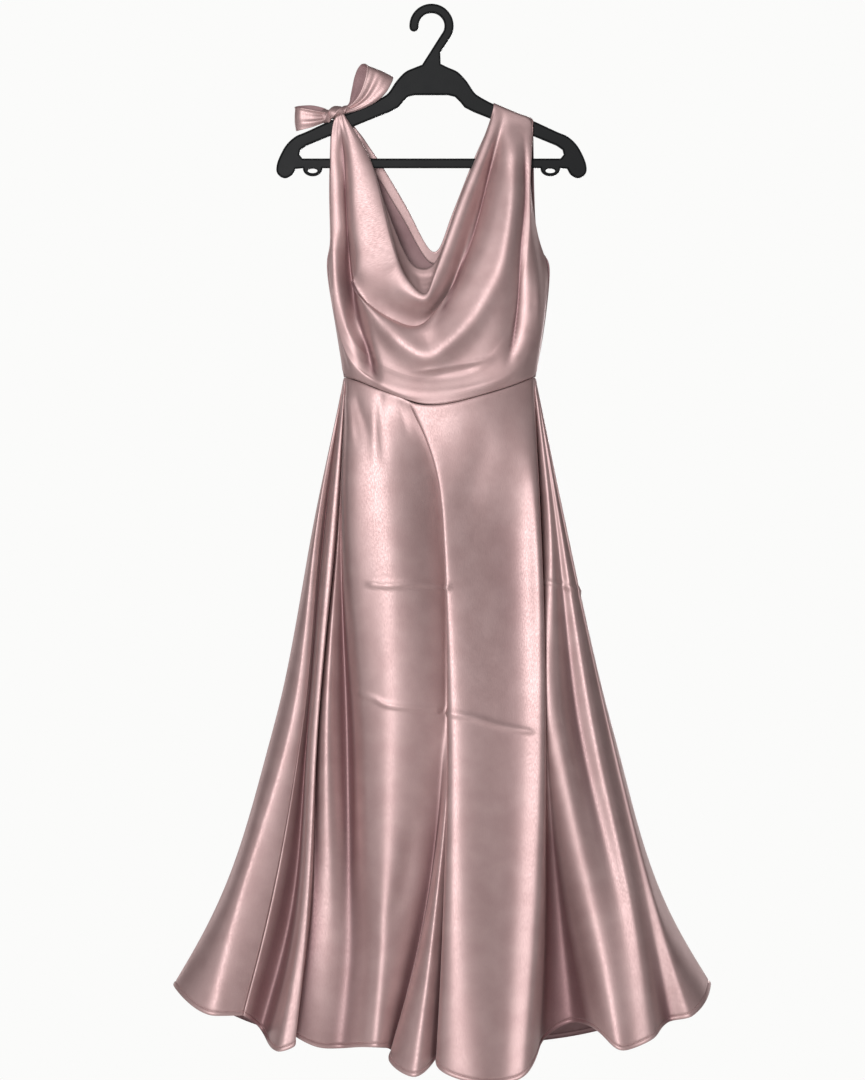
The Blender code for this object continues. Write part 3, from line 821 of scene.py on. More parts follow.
def front_folds() -> tuple[FoldLine, ...]:
    """List the front's fold lines from the left side seam to the right one.

    Returns:
        Its fold lines in order.
    """
    rows = {
        "left_seam": (0.0, (-155, -188, -241, -272), (-12, -28, -38, -46), -1450),
        "left_valley": (0.015, (-150, -179, -204, -243), (3, -8, -12, -22), -1475),
        "left_flute": (0.03, (-143, -174, -193, -222), (-24, -47, -72, -92), -1500),
        "left_flute_edge": (0.042, (-135, -164, -179, -195), (-24, -49, -74, -88), -1490),
        "left_gap": (0.05, (-134, -166, -177, -200), (8, -18, -42, -68), -1476),
        "strip_ridge": (0.058, (-132, -150, -146, -162), (2, -36, -44, -59), -1497),
        "strip_valley": (0.066, (-130, -121, -119, -133), (6, -4, -36, -51), -1497),
        "panel_left_edge": (0.08, (-127, -104, -97, -107), (-45, -47, -51, -65), -1494),
        "panel_left_slope": (0.17, (-98, -80, -82, -92), (-57, -60, -64, -77), -1493),
        "panel_left_ridge": (0.28, (-56, -50, -64, -76), (-60, -67, -71, -81), -1493),
        "centre_valley": (0.365, (8, 14, -12, -56), (-37, -51, -48, -58), -1500),
        "centre_flute_left": (0.375, (15, 20, -14, -64), (-35, -50, -74, -88), -1511),
        "centre_flute": (0.385, (19, 26, 2, -22), (-34, -52, -100, -130), -1536),
        "centre_flute_right": (0.395, (21, 30, 20, 8), (-33, -48, -78, -92), -1505),
        "panel_right_edge": (0.41, (11, 20, 13, 5), (-58, -88, -123, -137), -1518),
        "panel_right_ridge": (0.50, (34, 38, 46, 58), (-53, -98, -133, -152), -1539),
        "panel_right_dip": (0.66, (126, 130, 118, 106), (-34, -76, -110, -136), -1540),
        "panel_right_swell": (0.84, (148, 158, 148, 134), (-36, -80, -113, -138), -1530),
        "panel_right_turn": (0.93, (157, 165, 161, 151), (-26, -68, -90, -106), -1504),
        "right_gap": (0.945, (153, 162, 164, 160), (4, -60, -36, -46), -1484),
        "right_recess": (0.955, (157, 165, 190, 204), (4, -58, -26, -32), -1459),
        "side_flute_edge": (0.962, (162, 170, 212, 240), (-8, -63, -58, -78), -1468),
        "side_flute": (0.97, (170, 190, 240, 268), (-13, -63, -82, -108), -1497),
        "side_flute_dip": (0.978, (175, 211, 276, 292), (-9, -35, -74, -101), -1492),
        "side_flute_swell": (0.984, (180, 236, 298, 322), (-11, -47, -77, -99), -1478),
        "side_valley": (0.99, (183, 254, 316, 340), (-6, -24, -56, -60), -1457),
        "right_flute": (0.995, (185, 259, 336, 376), (-6, -24, -58, -70), -1451),
        "right_seam": (1.0, (186, 263, 358, 405), (4, 4, 4, 4), -1408),
    }
    return tuple(FoldLine(*row) for row in rows.values())


def back_folds() -> tuple[FoldLine, ...]:
    """List the back's fold lines from the right side seam to the left one.

    Returns:
        Its fold lines in order.
    """
    rows = {
        "right_back_flute": (0.05, (181, 240, 314, 352), (18, 36, 54, 68), -1440),
        "right_back_valley": (0.13, (163, 198, 262, 296), (26, 26, 34, 40), -1462),
        "back_flute_one": (0.22, (132, 152, 190, 214), (42, 68, 96, 120), -1492),
        "back_valley_one": (0.34, (92, 108, 122, 134), (42, 44, 56, 64), -1498),
        "back_flute_two": (0.46, (46, 52, 56, 60), (52, 80, 114, 138), -1514),
        "back_valley_two": (0.56, (4, -4, -18, -26), (46, 50, 62, 72), -1508),
        "back_flute_three": (0.66, (-40, -64, -90, -106), (50, 78, 110, 134), -1510),
        "back_valley_three": (0.77, (-84, -112, -156, -182), (38, 40, 52, 62), -1490),
        "back_flute_four": (0.88, (-124, -160, -222, -260), (34, 58, 82, 100), -1474),
        "left_back_valley": (0.945, (-150, -202, -284, -326), (16, 24, 36, 42), -1438),
        "left_outline": (0.96, (-163, -231, -330, -376), (2, 2, 0, -2), -1407),
        "left_front_flute": (0.985, (-160, -206, -292, -320), (-14, -32, -50, -62), -1449),
    }
    return tuple(FoldLine(*row, Side.BACK) for row in rows.values())


def front_creases() -> tuple[Crease, ...]:
    """List the creases pressed into the skirt's front.

    Returns:
        The creases.
    """
    creases = {
        "dart": Crease(((-108, -562), (-98, -592), (-84, -622)), 5, -2.6, **TUCK),
        "dart_ridge": Crease(((-121, -560), (-118, -590), (-112, -630)), 5, 1.6, (False, True)),
        "waist_tuck": Crease(((-74, -556), (-72, -600), (-66, -668)), 4.5, -1.8, **TUCK),
        "waist_tuck_ridge": Crease(((-84, -560), (-83, -610), (-81, -670)), 6, 1.4),
        "waist_pull": Crease(((-46, -566), (-40, -590), (-36, -622)), 4, -1.2, **TUCK),
        "upper_press_left": Crease(((-98, -828), (-60, -831), (-20, -828), (22, -833)), 4.5, 2.8,
            (True, False), 2.2, fade=0.12),
        "upper_press_right": Crease(((158, -825), (185, -829), (214, -838)), 4.5, 2.1, (True, False), 2.2,
            fade=0.2),
        "lower_press_left": Crease(((-120, -980), (-84, -993), (-58, -1004), (10, -1010)), 4.5, 2.4,
            (True, False), 2.2, fade=0.2),
        "lower_press_right": Crease(((22, -1013), (62, -1021), (104, -1034), (152, -1042)), 4.5, 2.7,
            (False, True), 2.2, fade=0.12),
        "hip_diagonal": Crease(((88, -590), (68, -660), (42, -740)), 16, -1.2),
        "calf_vee_right": Crease(((-24, -1150), (-40, -1260), (-66, -1350)), 12, -2.0),
    }
    return tuple(creases.values())


def rear_creases() -> tuple[Crease, ...]:
    """List the creases pressed into the skirt's back, where it was folded in its packet.

    Returns:
        The creases.
    """
    creases = {
        "rear_dart_left": Crease(((-58, -530), (-55, -575), (-50, -630)), 4, -1.8),
        "rear_dart_right": Crease(((76, -530), (72, -570), (66, -618)), 4, -1.8),
        "rear_press_left": Crease(((-186, -842), (-120, -835), (-50, -838)), 4.0, 0.9, (True, True), 2.0),
        "rear_press_right": Crease(((10, -836), (84, -830), (170, -836)), 4.0, 1.0, (True, True), 2.0),
        "rear_press_lower": Crease(((-96, -1016), (-20, -1022), (80, -1014)), 4.0, 0.8, (True, True), 2.0),
        "rear_hip_drag": Crease(((-110, -590), (-84, -680), (-70, -780)), 15, -1.6),
        "rear_seat_drag": Crease(((120, -600), (92, -690), (84, -800)), 17, -1.8),
        "rear_calf_vee": Crease(((-26, -1160), (-2, -1270), (8, -1380)), 13, -2.2),
    }
    return tuple(creases.values())


@dataclass
class Skirt:
    """The flared skirt, a ring of fold lines cut into a front and a back."""

    finish: Finishes
    waist: Waist
    levels: Triple = (-700, -1040, -1330)  # hip, knee and calf
    front_steps: int = 10  # mesh columns between two fold lines
    back_steps: int = 18
    across_softness: int = 24  # rounds of easing
    down_softness: int = 16
    measured: tuple[float, ...] = (0.35, 0.6, 0.85, 1.0)  # shares of the way down where the ring is measured
    length: float = 960.0  # from the waist seam to the hem
    rows: int = 96
    waist_rows: tuple[float, ...] = (0.5, 1.2, 2.4, 4.0, 6.5, 10.0)  # their distances from the seam
    hem_rows: tuple[float, ...] = (14.0, 10.0, 8.0, 7.2, 6.4, 5.6, 4.0, 2.0, 0.8, 0.0)  # and from the hem
    firm_rows: int = 8  # mesh rows at both ends that aren't eased
    pressed: tuple[Pair, ...] = ((0.265, 0.335), (0.455, 0.535))  # bands with pressed creases
    pressed_pitch: float = 3.0  # between the mesh rows there
    tight: float = 0.5  # mesh columns this close are eased least
    loose: float = 2.5  # and those this much further apart in full
    least_ease: float = 0.15
    seam_fade: float = 0.1
    side_gap: float = 0.5
    hem_line: Triple = (-1.1, 6.4, 0.9)  # rise, distance from the hem and width of the stitched line
    hem_roll: Triple = (1.0, 3, 2.2)  # and of the roll below it
    sewn_row: int = -6  # the mesh row that the hem is stitched along
    lines: list[FoldLine] = field(init=False)
    front_last: int = field(init=False)
    seams: dict[str, list[np.ndarray]] = field(default_factory=dict)

    def __post_init__(self) -> None:
        """Join the fold lines into one ring."""
        front = front_folds()
        self.front_last = len(front) - 1
        self.lines = [*front, *back_folds(), front[0]]

    def ring(self, down: float) -> np.ndarray:
        """Find a point on each fold line.

        Args:
            down: Share of the way from the waist seam to the hem.

        Returns:
            A row for each fold line.
        """
        points = []
        for line in self.lines:
            start = self.waist.point(line.waist, line.side)
            heights = np.array([start[2], *self.levels, line.hem], float)
            values = np.array([[start[0], start[1]], *zip(line.across, line.depth)], float)
            height = start[2] + (line.hem - start[2]) * down
            plan = spline(-heights, values, np.array([-height]))[0]
            points.append([plan[0], plan[1], height])
        return np.array(points)

    def knots(self) -> np.ndarray:
        """Measure the ring parameter of each fold line, its mean distance from the first.

        Returns:
            The parameters in rising order.
        """
        steps = sum(np.linalg.norm(np.diff(self.ring(down), axis=0), axis=1) for down in self.measured)
        return added_up(steps / len(self.measured))

    def down_shares(self) -> np.ndarray:
        """List the mesh rows, closer together at the waist seam, at pressed creases and at the hem.

        Returns:
            Shares of the way from the waist seam to the hem.
        """
        top = np.array(self.waist_rows) / self.length
        hem = 1 - np.array(self.hem_rows) / self.length
        body = np.linspace(top[-1], hem[0], self.rows)[1:-1]
        for low, high in self.pressed:
            close = np.linspace(low, high, int((high - low) * self.length / self.pressed_pitch))
            body = np.concatenate([body[(body < low) | (body > high)], close])
        return np.concatenate([top, np.sort(body), hem])

    def surface(self, first: int, last: int, steps: int, side: Side) -> np.ndarray:
        """Work out a panel's points.

        Args:
            first: Number of its first fold line.
            last: Number of its last one.
            steps: Mesh columns between two fold lines.
            side: Front or back.

        Returns:
            A grid from the waist seam down to the hem.
        """
        knots = self.knots()
        turn = knots[-1]
        wide = np.concatenate([knots[-3:-1] - turn, knots, knots[1:3] + turn])
        around = between(knots[first : last + 1], steps)
        shares = self.down_shares()
        grid = []
        for down in np.concatenate([[0], shares]):
            ring = self.ring(down)
            grid.append(spline(wide, np.vstack([ring[-3:-1], ring, ring[1:3]]), around))
        grid = np.array(grid)
        off_seam = self.waist.height(grid[0, :, 0], side) - grid[0, :, 2]
        grid = grid[1:]
        grid[:, :, 2] += off_seam * np.clip(1 - shares / self.seam_fade, 0, 1)[:, None]
        spacing = np.linalg.norm(np.gradient(grid[len(grid) // 2 :], axis=1), axis=2).mean(0)
        pull = np.clip((spacing - self.tight) / self.loose, self.least_ease, 1)
        grid = eased(grid, 1, self.across_softness, pull)
        inner = np.minimum(np.arange(len(grid)), np.arange(len(grid))[::-1])
        pull = np.clip((inner - self.firm_rows) / self.firm_rows, 0, 1)
        grid = eased(grid, 0, self.down_softness, pull[:, None])
        for end, beside in ((0, 1), (-1, -2)):
            inward = grid[:, beside] - grid[:, end]
            length = np.linalg.norm(inward, axis=1, keepdims=True)
            grid[:, end] += inward * np.minimum(self.side_gap / 2 / length, 0.5)
        return grid

    def sewn(self, grid: np.ndarray) -> np.ndarray:
        """Turn the waist edge in and press the hem's stitched line.

        Args:
            grid: The panel's points.

        Returns:
            The same panel, sewn.
        """
        length = run_length(grid, 0)
        from_hem = length[-1] - length
        pressed = sum(rise * hump(from_hem, at, width) for rise, at, width in (self.hem_line, self.hem_roll))
        return moved_out(grid, (drawn_in(length) + pressed)[:, None])

    def build(self) -> list[bpy.types.Object]:
        """Make the front and the back of the skirt.

        Returns:
            Both panels.
        """
        last = len(self.lines) - 1
        front = self.surface(0, self.front_last, self.front_steps, Side.FRONT)
        back = self.surface(self.front_last, last, self.back_steps, Side.BACK)
        made = []
        for name, grid, creases in (("front", front, front_creases()), ("back", back, rear_creases())):
            grid = self.sewn(creased(grid, creases))
            self.seams[f"{name}_hem_stitching"] = [moved_out(grid, CLOTH / 2)[self.sewn_row]]
            made.append(settled(cloth_object(f"skirt_{name}_panel", grid, self.finish), f"skirt_{name}"))
        return made


# -------------------- bodice


@dataclass(frozen=True)
class DrapeLine:
    """One line across the bodice, with (across, height, depth) at seven stations from left to right."""

    down: float  # share of the way from the neck edge to the waist seam
    stations: tuple[Triple, ...]


def front_drapes() -> tuple[DrapeLine, ...]:
    """List the front's drape lines from the cowl's inner edge down to above the waist seam.

    Returns:
        The drape lines in order.
    """
    rows = {
        "facing_edge": (0.0, (-126.9, -150, -6.8), (-86, -230, -10), (-33, -360, -20), (-11, -371, -22),
            (8, -359, -21), (42, -266, -12), (90, -139, -6.8)),
        "facing": (0.05, (-127.3, -149, -7), (-86.5, -227, -11), (-38, -372, -28), (-11, -396, -33),
            (6, -376, -29), (41, -267, -16), (91, -138, -7)),
        "roll_inside": (0.09, (-127.6, -147.5, -8.8), (-84, -223, -12), (-41.5, -380, -38),
            (-10.6, -416, -45), (5, -388, -40), (42, -266, -21), (92, -136, -8.8)),
        "roll": (0.12, (-128.1, -146, -10.6), (-85.5, -221, -17), (-43, -374, -47), (-10.6, -410, -55),
            (4.5, -380, -50), (41, -265, -29), (92.5, -134.5, -10.6)),
        "roll_front": (0.155, (-128.7, -146, -11.4), (-91, -222, -22), (-54, -384, -50), (-11, -418, -59),
            (8, -391, -52), (47, -270, -35), (96, -136, -12.4)),
        "under_roll": (0.20, (-129.4, -146, -11.6), (-99, -223, -23.5), (-74, -394, -44), (-13, -430, -47),
            (12, -404, -46), (54, -276, -34), (99.5, -137.5, -12.6)),
        "recess": (0.25, (-130, -146.2, -11.6), (-108, -224, -23), (-92, -395, -38), (-19, -446, -34),
            (14, -417, -37), (58, -286, -27), (102.5, -139, -11.6)),
        "pocket": (0.30, (-130.8, -146.6, -11.4), (-116, -225, -22), (-109, -398, -33), (-27, -468, -31),
            (12, -432, -35), (61, -298, -22), (105, -140, -11)),
        "pocket_edge": (0.335, (-132.7, -147, -11.2), (-122, -226, -21), (-113, -396, -36),
            (-27, -457, -48), (16, -416, -46), (66, -298, -25), (108, -141, -11.4)),
        "second_ridge": (0.42, (-134.7, -147.5, -11.4), (-128, -228, -20), (-104, -414, -45),
            (-10, -499, -61), (32, -466, -58), (84, -338, -44), (113, -143.5, -13)),
        "second_under": (0.50, (-137, -148.5, -11.8), (-133.5, -232, -19), (-106, -434, -36),
            (-13, -514, -57), (46, -484, -54), (98, -352, -44), (122, -147, -13.4)),
        "left_ridge": (0.57, (-140.1, -150, -11.8), (-139, -240, -17.5), (-116, -452, -34),
            (-14, -523, -54.5), (58, -500, -51), (112, -366, -50), (132, -151, -13)),
        "outer_drape": (0.65, (-142.9, -154, -11), (-145, -262, -14.5), (-121, -468, -34), (-14, -530, -53),
            (68, -511, -49), (131, -378, -41), (147, -158, -10.6)),
        "shoulder_corner": (0.66, (-143.4, -158, -10.8), (-145, -268, -14), (-121, -470, -34),
            (-14, -531, -52.8), (70, -512, -49), (133, -380, -41), (147, -155.2, -6.2)),
        "shoulder_edge": (0.675, (-146.3, -169, -10.6), (-145.2, -276, -14.5), (-121, -473, -34),
            (-14, -533, -52.2), (72, -514, -49), (136, -384, -40), (147, -166, -9.8)),
        "armhole": (0.73, (-149.6, -222, -9), (-146, -312, -16), (-121, -484, -33), (-14, -538, -50.6),
            (77, -521, -48), (147, -396, -36), (143.6, -262, -9)),
        "upper_side": (0.81, (-144, -322, -6), (-146, -365, -15), (-117, -499, -33), (-14, -545, -49),
            (84, -529, -47), (156, -424, -32), (157, -342, -5)),
        "underarm": (0.88, (-152, -364, -1.1), (-141, -418, -17), (-111, -512, -34), (-13, -552, -47.6),
            (90, -533, -46), (155, -462, -29), (172, -368, -1.1)),
        "lower_side": (0.945, (-139, -452, -1.1), (-130, -480, -19), (-98, -526, -37), (-12, -560, -47),
            (92, -539, -45), (148, -498, -25), (163, -458, -1.1)),
    }
    return tuple(DrapeLine(row[0], row[1:]) for row in rows.values())


def back_drapes() -> tuple[DrapeLine, ...]:
    """List the back's drape lines from the V neck down to above the waist seam.

    Returns:
        The drape lines in order.
    """
    rows = {
        "neck_edge": (0.0, (-121, -151, 8.4), (-80, -208, 10), (-36, -280, 18), (4, -348, 24),
            (29, -292, 19), (60, -214, 11), (91, -136, 7)),
        "upper": (0.3, (-134, -156, 9), (-100, -250, 14), (-56, -340, 24), (4, -388, 32), (52, -350, 26),
            (86, -250, 16), (119, -144, 8)),
        "yoke": (0.41, (-140.5, -158.5, 8.8), (-113, -270, 14.5), (-69, -373, 26), (4.5, -411, 34),
            (70, -378, 28), (104.5, -270, 16.5), (134, -149.5, 7.6)),
        "middle": (0.5, (-145.4, -161, 8.6), (-126, -290, 15), (-82, -404, 28), (5, -432, 36),
            (86, -404, 30), (122, -290, 17), (147, -157, 7)),
        "shoulder_corner": (0.52, (-146, -168, 8.6), (-127, -298, 15), (-83, -410, 28), (5, -438, 36),
            (88, -410, 30), (124, -298, 17), (147, -155.2, 6.2)),
        "shoulder_edge": (0.545, (-146.5, -178, 8.4), (-128, -306, 15), (-84, -416, 28.5), (5, -442, 36.5),
            (91, -416, 30), (127, -306, 17), (147.5, -166, 9.4)),
        "armhole": (0.7, (-148, -262, 6), (-132, -370, 15), (-92, -452, 30), (7, -476, 38), (104, -452, 31),
            (138, -370, 15), (149, -262, 6)),
        "armhole_curve": (0.78, (-146.5, -330, 3.5), (-133, -402, 16.5), (-93, -470, 31.5), (8, -488, 38.5),
            (108, -470, 31.5), (144, -402, 16), (155, -336, 3.5)),
        "underarm": (0.84, (-152, -364, 1.1), (-134, -432, 18), (-94, -486, 33), (9, -500, 39),
            (112, -486, 32), (150, -432, 17), (172, -368, 1.1)),
        "lower_side": (0.93, (-139, -452, 1.1), (-126, -486, 17), (-94, -510, 32), (9, -517, 39.5),
            (106, -510, 32), (147, -486, 16), (163, -458, 1.1)),
    }
    return tuple(DrapeLine(row[0], row[1:]) for row in rows.values())


def bodice_creases() -> tuple[Crease, ...]:
    """List the creases pressed into the front of the bodice.

    Returns:
        The creases.
    """
    creases = {
        "left_valley": Crease(((-133, -152), (-129, -200), (-126, -240), (-123, -305), (-117, -384),
            (-106, -434), (-96, -468)), 4.5, -19, (True, True), 10, True, 0.2),
        "left_hollow": Crease(((-121, -310), (-118, -384), (-107, -434), (-93, -482), (-76, -546)), 6, -15,
            (True, True), 15, False, 0.2),
        "roll_valley": Crease(((97, -165), (81, -237), (62, -315), (38, -382), (12, -445), (0, -470)), 13,
            -12, (True, True), 9, True, 0.2),
        "broad_ridge": Crease(((116, -156), (117, -232), (110, -315), (95, -382), (58, -450), (17, -488),
            (-7, -500), (-46, -480), (-82, -438)), 16, 7, (True, True), fade=0.12),
        "side_valley": Crease(((133, -170), (136, -257), (129, -344), (126, -411), (119, -469),
            (108, -524)), 8, -11, (True, True), 13, True, 0.2),
        "side_strip": Crease(((143, -230), (149, -320), (154, -380), (155, -430), (150, -500)), 5, 2.0),
        "gather_left": Crease(((-139.5, -148), (-141, -170), (-142, -196)), 2.0, -1.6, **TUCK),
        "gather_middle": Crease(((-135.5, -148), (-135.5, -168), (-136, -190)), 2.2, -1.8, **TUCK),
        "gather_right": Crease(((-131, -148), (-126, -170), (-117, -200)), 2.2, -2.0, **TUCK),
        "gather_edge": Crease(((-128.5, -148), (-119, -170), (-104, -206)), 2.2, -1.6, **TUCK),
        "band_wrinkle": Crease(((-112, -260), (-100, -282), (-86, -296)), 6, -1.2),
        "side_wrinkle_upper": Crease(((140, -424), (152, -427), (162, -432)), 3, -1.0, crisp=True),
        "side_wrinkle_middle": Crease(((132, -462), (146, -461), (157, -466)), 3, -1.2, crisp=True),
        "side_wrinkle_lower": Crease(((122, -500), (136, -498), (150, -503)), 3, -1.0, crisp=True),
        "waist_wrinkle": Crease(((-34, -523), (0, -518), (42, -511), (66, -507), (94, -499)), 4, 3.4,
            crisp=True, fade=0.25),
        "waist_wrinkle_under": Crease(((-20, -529), (8, -525), (48, -518), (84, -510)), 6, -1.6),
    }
    return tuple(creases.values())


def facing_creases() -> tuple[Crease, ...]:
    """List the fine creases across the turned-in facing, just inside the roll.

    Returns:
        The creases.
    """
    creases = {
        "facing_crease_one": Crease(((-30, -377), (-14, -385), (2, -382), (10, -372)), 2.2, -1.8,
            crisp=True),
        "facing_crease_two": Crease(((-26, -386), (-12, -393), (0, -390), (6, -380)), 2.2, -1.8,
            crisp=True),
        "facing_crease_three": Crease(((-22, -394), (-10, -401), (0, -396)), 2.0, -1.5, crisp=True),
    }
    return tuple(creases.values())


def back_creases() -> tuple[Crease, ...]:
    """List the creases of the back panel, a positive rise standing out behind.

    Returns:
        The creases.
    """
    creases = {
        "inner_hollow": Crease(((-126, -190), (-96, -250), (-62, -318), (-26, -378)), 15, 18, crisp=True),
        "strap_fold_left": Crease(((-112, -165), (-98, -196), (-84, -226)), 4, -2.5),
        "strap_fold_right": Crease(((104, -160), (96, -210), (76, -270)), 7, 3.0),
        "blade_left": Crease(((-120, -300), (-92, -400), (-70, -500)), 18, 5),
        "blade_right": Crease(((130, -300), (106, -400), (84, -500)), 18, 5),
        "centre_drag": Crease(((6, -380), (4, -440), (12, -500)), 12, -4),
        "waist_drag": Crease(((-60, -516), (0, -506), (70, -512)), 7, -2.5),
    }
    return tuple(creases.values())


@dataclass
class Bodice:
    """The cowl front with its turned-in facing, the V back, the neck facing and the armhole bindings."""

    finish: Finishes
    waist: Waist
    arm_top: np.ndarray
    stations: tuple[float, ...] = (0.0, 0.2, 0.42, 0.54, 0.65, 0.82, 1.0)
    waist_stations: tuple[float, ...] = (-126.7, -119, -94, -12, 92, 141, 150.3)
    shoulder_turn: tuple[Triple, ...] = (
        (0.955, -6.0, 9.6), (0.985, 1.0, 6.0), (1.0, 1.5, 0.8),
    )  # share across, rise over the arm's top and distance from its middle
    front_last: float = 0.65  # the last drape line that goes over the arm
    back_last: float = 0.5
    across_steps: int = 24
    down_steps: int = 7
    back_extra: int = 6  # more steps down behind, where there are fewer drape lines
    across_softness: int = 30  # rounds of easing
    down_softness: int = 24
    back_softness: int = 12
    strap_softness: int = 240
    outside: Patch = Patch(((0.02, 0.5), (0.16, 0.5), (0.3, 0.06), (0.5, 0.06), (0.62, 0.8), (0.7, 1)))
    strap: Patch = Patch(((0, 1), (0.215, 1), (0.245, 0)), ((0.16, 0), (0.24, 1), (0.7, 1), (0.8, 0)))
    pinched: Patch = Patch(
        ((0.18, 0), (0.21, 1), (0.26, 1), (0.29, 0)), ((0.2, 0), (0.28, 1), (0.6, 1), (0.7, 0))
    )
    draped: Patch = Patch(down=((0.25, 0), (0.4, 1), (0.97, 1), (1.0, 0.2)))
    turned_in: Patch = Patch(down=((0, 1), (0.08, 1), (0.12, 0)))
    crease_lean: float = 0.25
    facing_width: float = 18.0
    binding_width: float = 5.0
    armhole_rows: tuple[int, int] = (13, 17)  # drape lines between which the armhole's edge is bound
    binding_start: int = 6  # mesh rows below the shoulder's corner
    waist_gap: float = 0.5
    trim_thickness: float = 0.7
    trim_out: float = 1.5  # from the panel's middle to the trim's
    arm_clear: float = -6.4  # depth in front of which the cloth stays, at the arm and its bar
    arm_soft: float = 1.2
    arm_corner: Pair = (-60, -262)  # right end and lower end of that part
    arm_fade: Pair = (20, 14)
    seams: dict[str, list[np.ndarray]] = field(default_factory=dict)

    def line(self, drape: DrapeLine, shares: np.ndarray, side: Side) -> np.ndarray:
        """Read one drape line. A line that reaches the shoulder turns over the hanger's arm there.

        Args:
            drape: The line.
            shares: Places across it.
            side: Front or back.

        Returns:
            A point for each place.
        """
        knots = list(self.stations)
        points = [(across, depth, height) for across, height, depth in drape.stations]
        if drape.down <= (self.back_last if side is Side.BACK else self.front_last):
            across = points[-1][0]
            top = float(np.interp(abs(across), self.arm_top[:, 0], self.arm_top[:, 1]))
            knots[-1:] = [share for share, _, _ in self.shoulder_turn]
            points[-1:] = [(across, side.value * out, top + rise) for _, rise, out in self.shoulder_turn]
        return spline(knots, points, shares)

    def waist_line(self, shares: np.ndarray, side: Side) -> np.ndarray:
        """Find the waist seam below each place across the bodice.

        Args:
            shares: Places across it.
            side: Front or back.

        Returns:
            A point for each place.
        """
        turns = [
            math.acos((x - self.waist.centre) / self.waist.half_width * side.value) / math.pi
            for x in self.waist_stations
        ]
        turns = spline(self.stations, np.array(turns)[:, None], shares)[:, 0]
        points = np.array([self.waist.point(min(max(turn, 0), 1), side) for turn in turns])
        points[:, 1] += side.value * self.waist_gap / 2
        points[:, 2] += self.waist_gap / 2
        return points

    def surface(self, drapes: tuple[DrapeLine, ...], side: Side, extra: int) -> np.ndarray:
        """Work out a panel's points from its neck edge to the waist seam.

        Args:
            drapes: The drape lines.
            side: Front or back.
            extra: More mesh rows between two of them.

        Returns:
            A grid from the neck edge down.
        """
        turn = [share for share, _, _ in self.shoulder_turn]
        across = between(np.array([*self.stations[:-1], *turn]), self.across_steps)
        knots = np.array([drape.down for drape in drapes] + [1.0])
        down = between(knots, self.down_steps + extra)
        lines = [self.line(drape, across, side) for drape in drapes] + [self.waist_line(across, side)]
        flat = np.array(lines).reshape(len(knots), -1)
        return spline(knots, flat, down).reshape(len(down), len(across), 3)

    def clear_of_arm(self, grid: np.ndarray) -> np.ndarray:
        """Keep the front's troughs in front of the hanger's arm and bar.

        Args:
            grid: The front's points.

        Returns:
            The front, moved forward where it came too near.
        """
        across, depth, height = np.moveaxis(grid, -1, 0)
        (right, low), (right_fade, low_fade) = self.arm_corner, self.arm_fade
        beside = np.clip((height - low) / low_fade, 0, 1) * np.clip((right - across) / right_fade, 0, 1)
        spare = self.arm_soft * np.log1p(np.exp(-(depth - self.arm_clear) / self.arm_soft))
        kept = grid.copy()
        kept[..., 1] += beside * (np.minimum(self.arm_clear - spare, depth) - depth)
        return kept

    def sewn(self, grid: np.ndarray) -> np.ndarray:
        """Turn the waist edge in."""
        return moved_out(grid, drawn_in(run_length(grid[::-1], 0))[::-1, None])

    def build(self) -> list[bpy.types.Object]:
        """Make the bodice's pieces.

        Returns:
            The front, back, facing and bindings.
        """
        front = eased(self.surface(front_drapes(), Side.FRONT, 0), 1, self.across_softness)
        front = eased(front, 0, self.down_softness, self.outside.share(front))
        front = eased(front, 0, self.strap_softness, self.strap.share(front))
        front = creased(front, bodice_creases(), self.draped.share(front), self.crease_lean)
        front = self.clear_of_arm(eased(front, 0, self.down_softness, self.pinched.share(front)))
        # painted shade on the floors of the bodice's deep troughs
        trough_shade = trough_shade_mask(front, bodice_creases())
        front = creased(front, facing_creases(), self.turned_in.share(front))
        back = eased(self.surface(back_drapes(), Side.BACK, self.back_extra), 1, self.across_softness)
        back = creased(eased(back, 0, self.back_softness)[:, ::-1], back_creases())
        front_panel = cloth_object("bodice_front_panel", self.sewn(front), self.finish, trough_shade=trough_shade)
        back_panel = cloth_object("bodice_back_panel", back, self.finish)
        settled(front_panel, "bodice_front")
        settled(back_panel, "bodice_back")
        facing, left, right = self.trims(front, back)
        return [front_panel, back_panel, facing, left, right]

    def trims(self, front: np.ndarray, back: np.ndarray) -> list[bpy.types.Object]:
        """Make the back neck facing and the armhole bindings on the panels' own points.

        Args:
            front: The front's points.
            back: The back's points.

        Returns:
            The three trims.
        """
        made = []
        first, last = (number * self.down_steps for number in self.armhole_rows)
        first += self.binding_start
        left = np.swapaxes(front[first : last + 1], 0, 1)
        right = np.swapaxes(front[last : first - 1 : -1, ::-1], 0, 1)
        bands = (
            ("back_neck_facing", edge_band(back, self.facing_width)[:, ::-1], (1, 6)),
            ("armhole_binding_left", edge_band(left, self.binding_width), (6,)),
            ("armhole_binding_right", edge_band(right, self.binding_width), (6,)),
        )
        for name, grid, sewn in bands:
            band = moved_out(grid, self.trim_out)
            made.append(settled(cloth_object(f"{name}_band", band, self.finish, self.trim_thickness), name))
            on_top = moved_out(grid, self.trim_out + self.trim_thickness / 2)
            self.seams[f"{name}_stitching"] = [on_top[row] for row in sewn]
        return made


# -------------------- bow


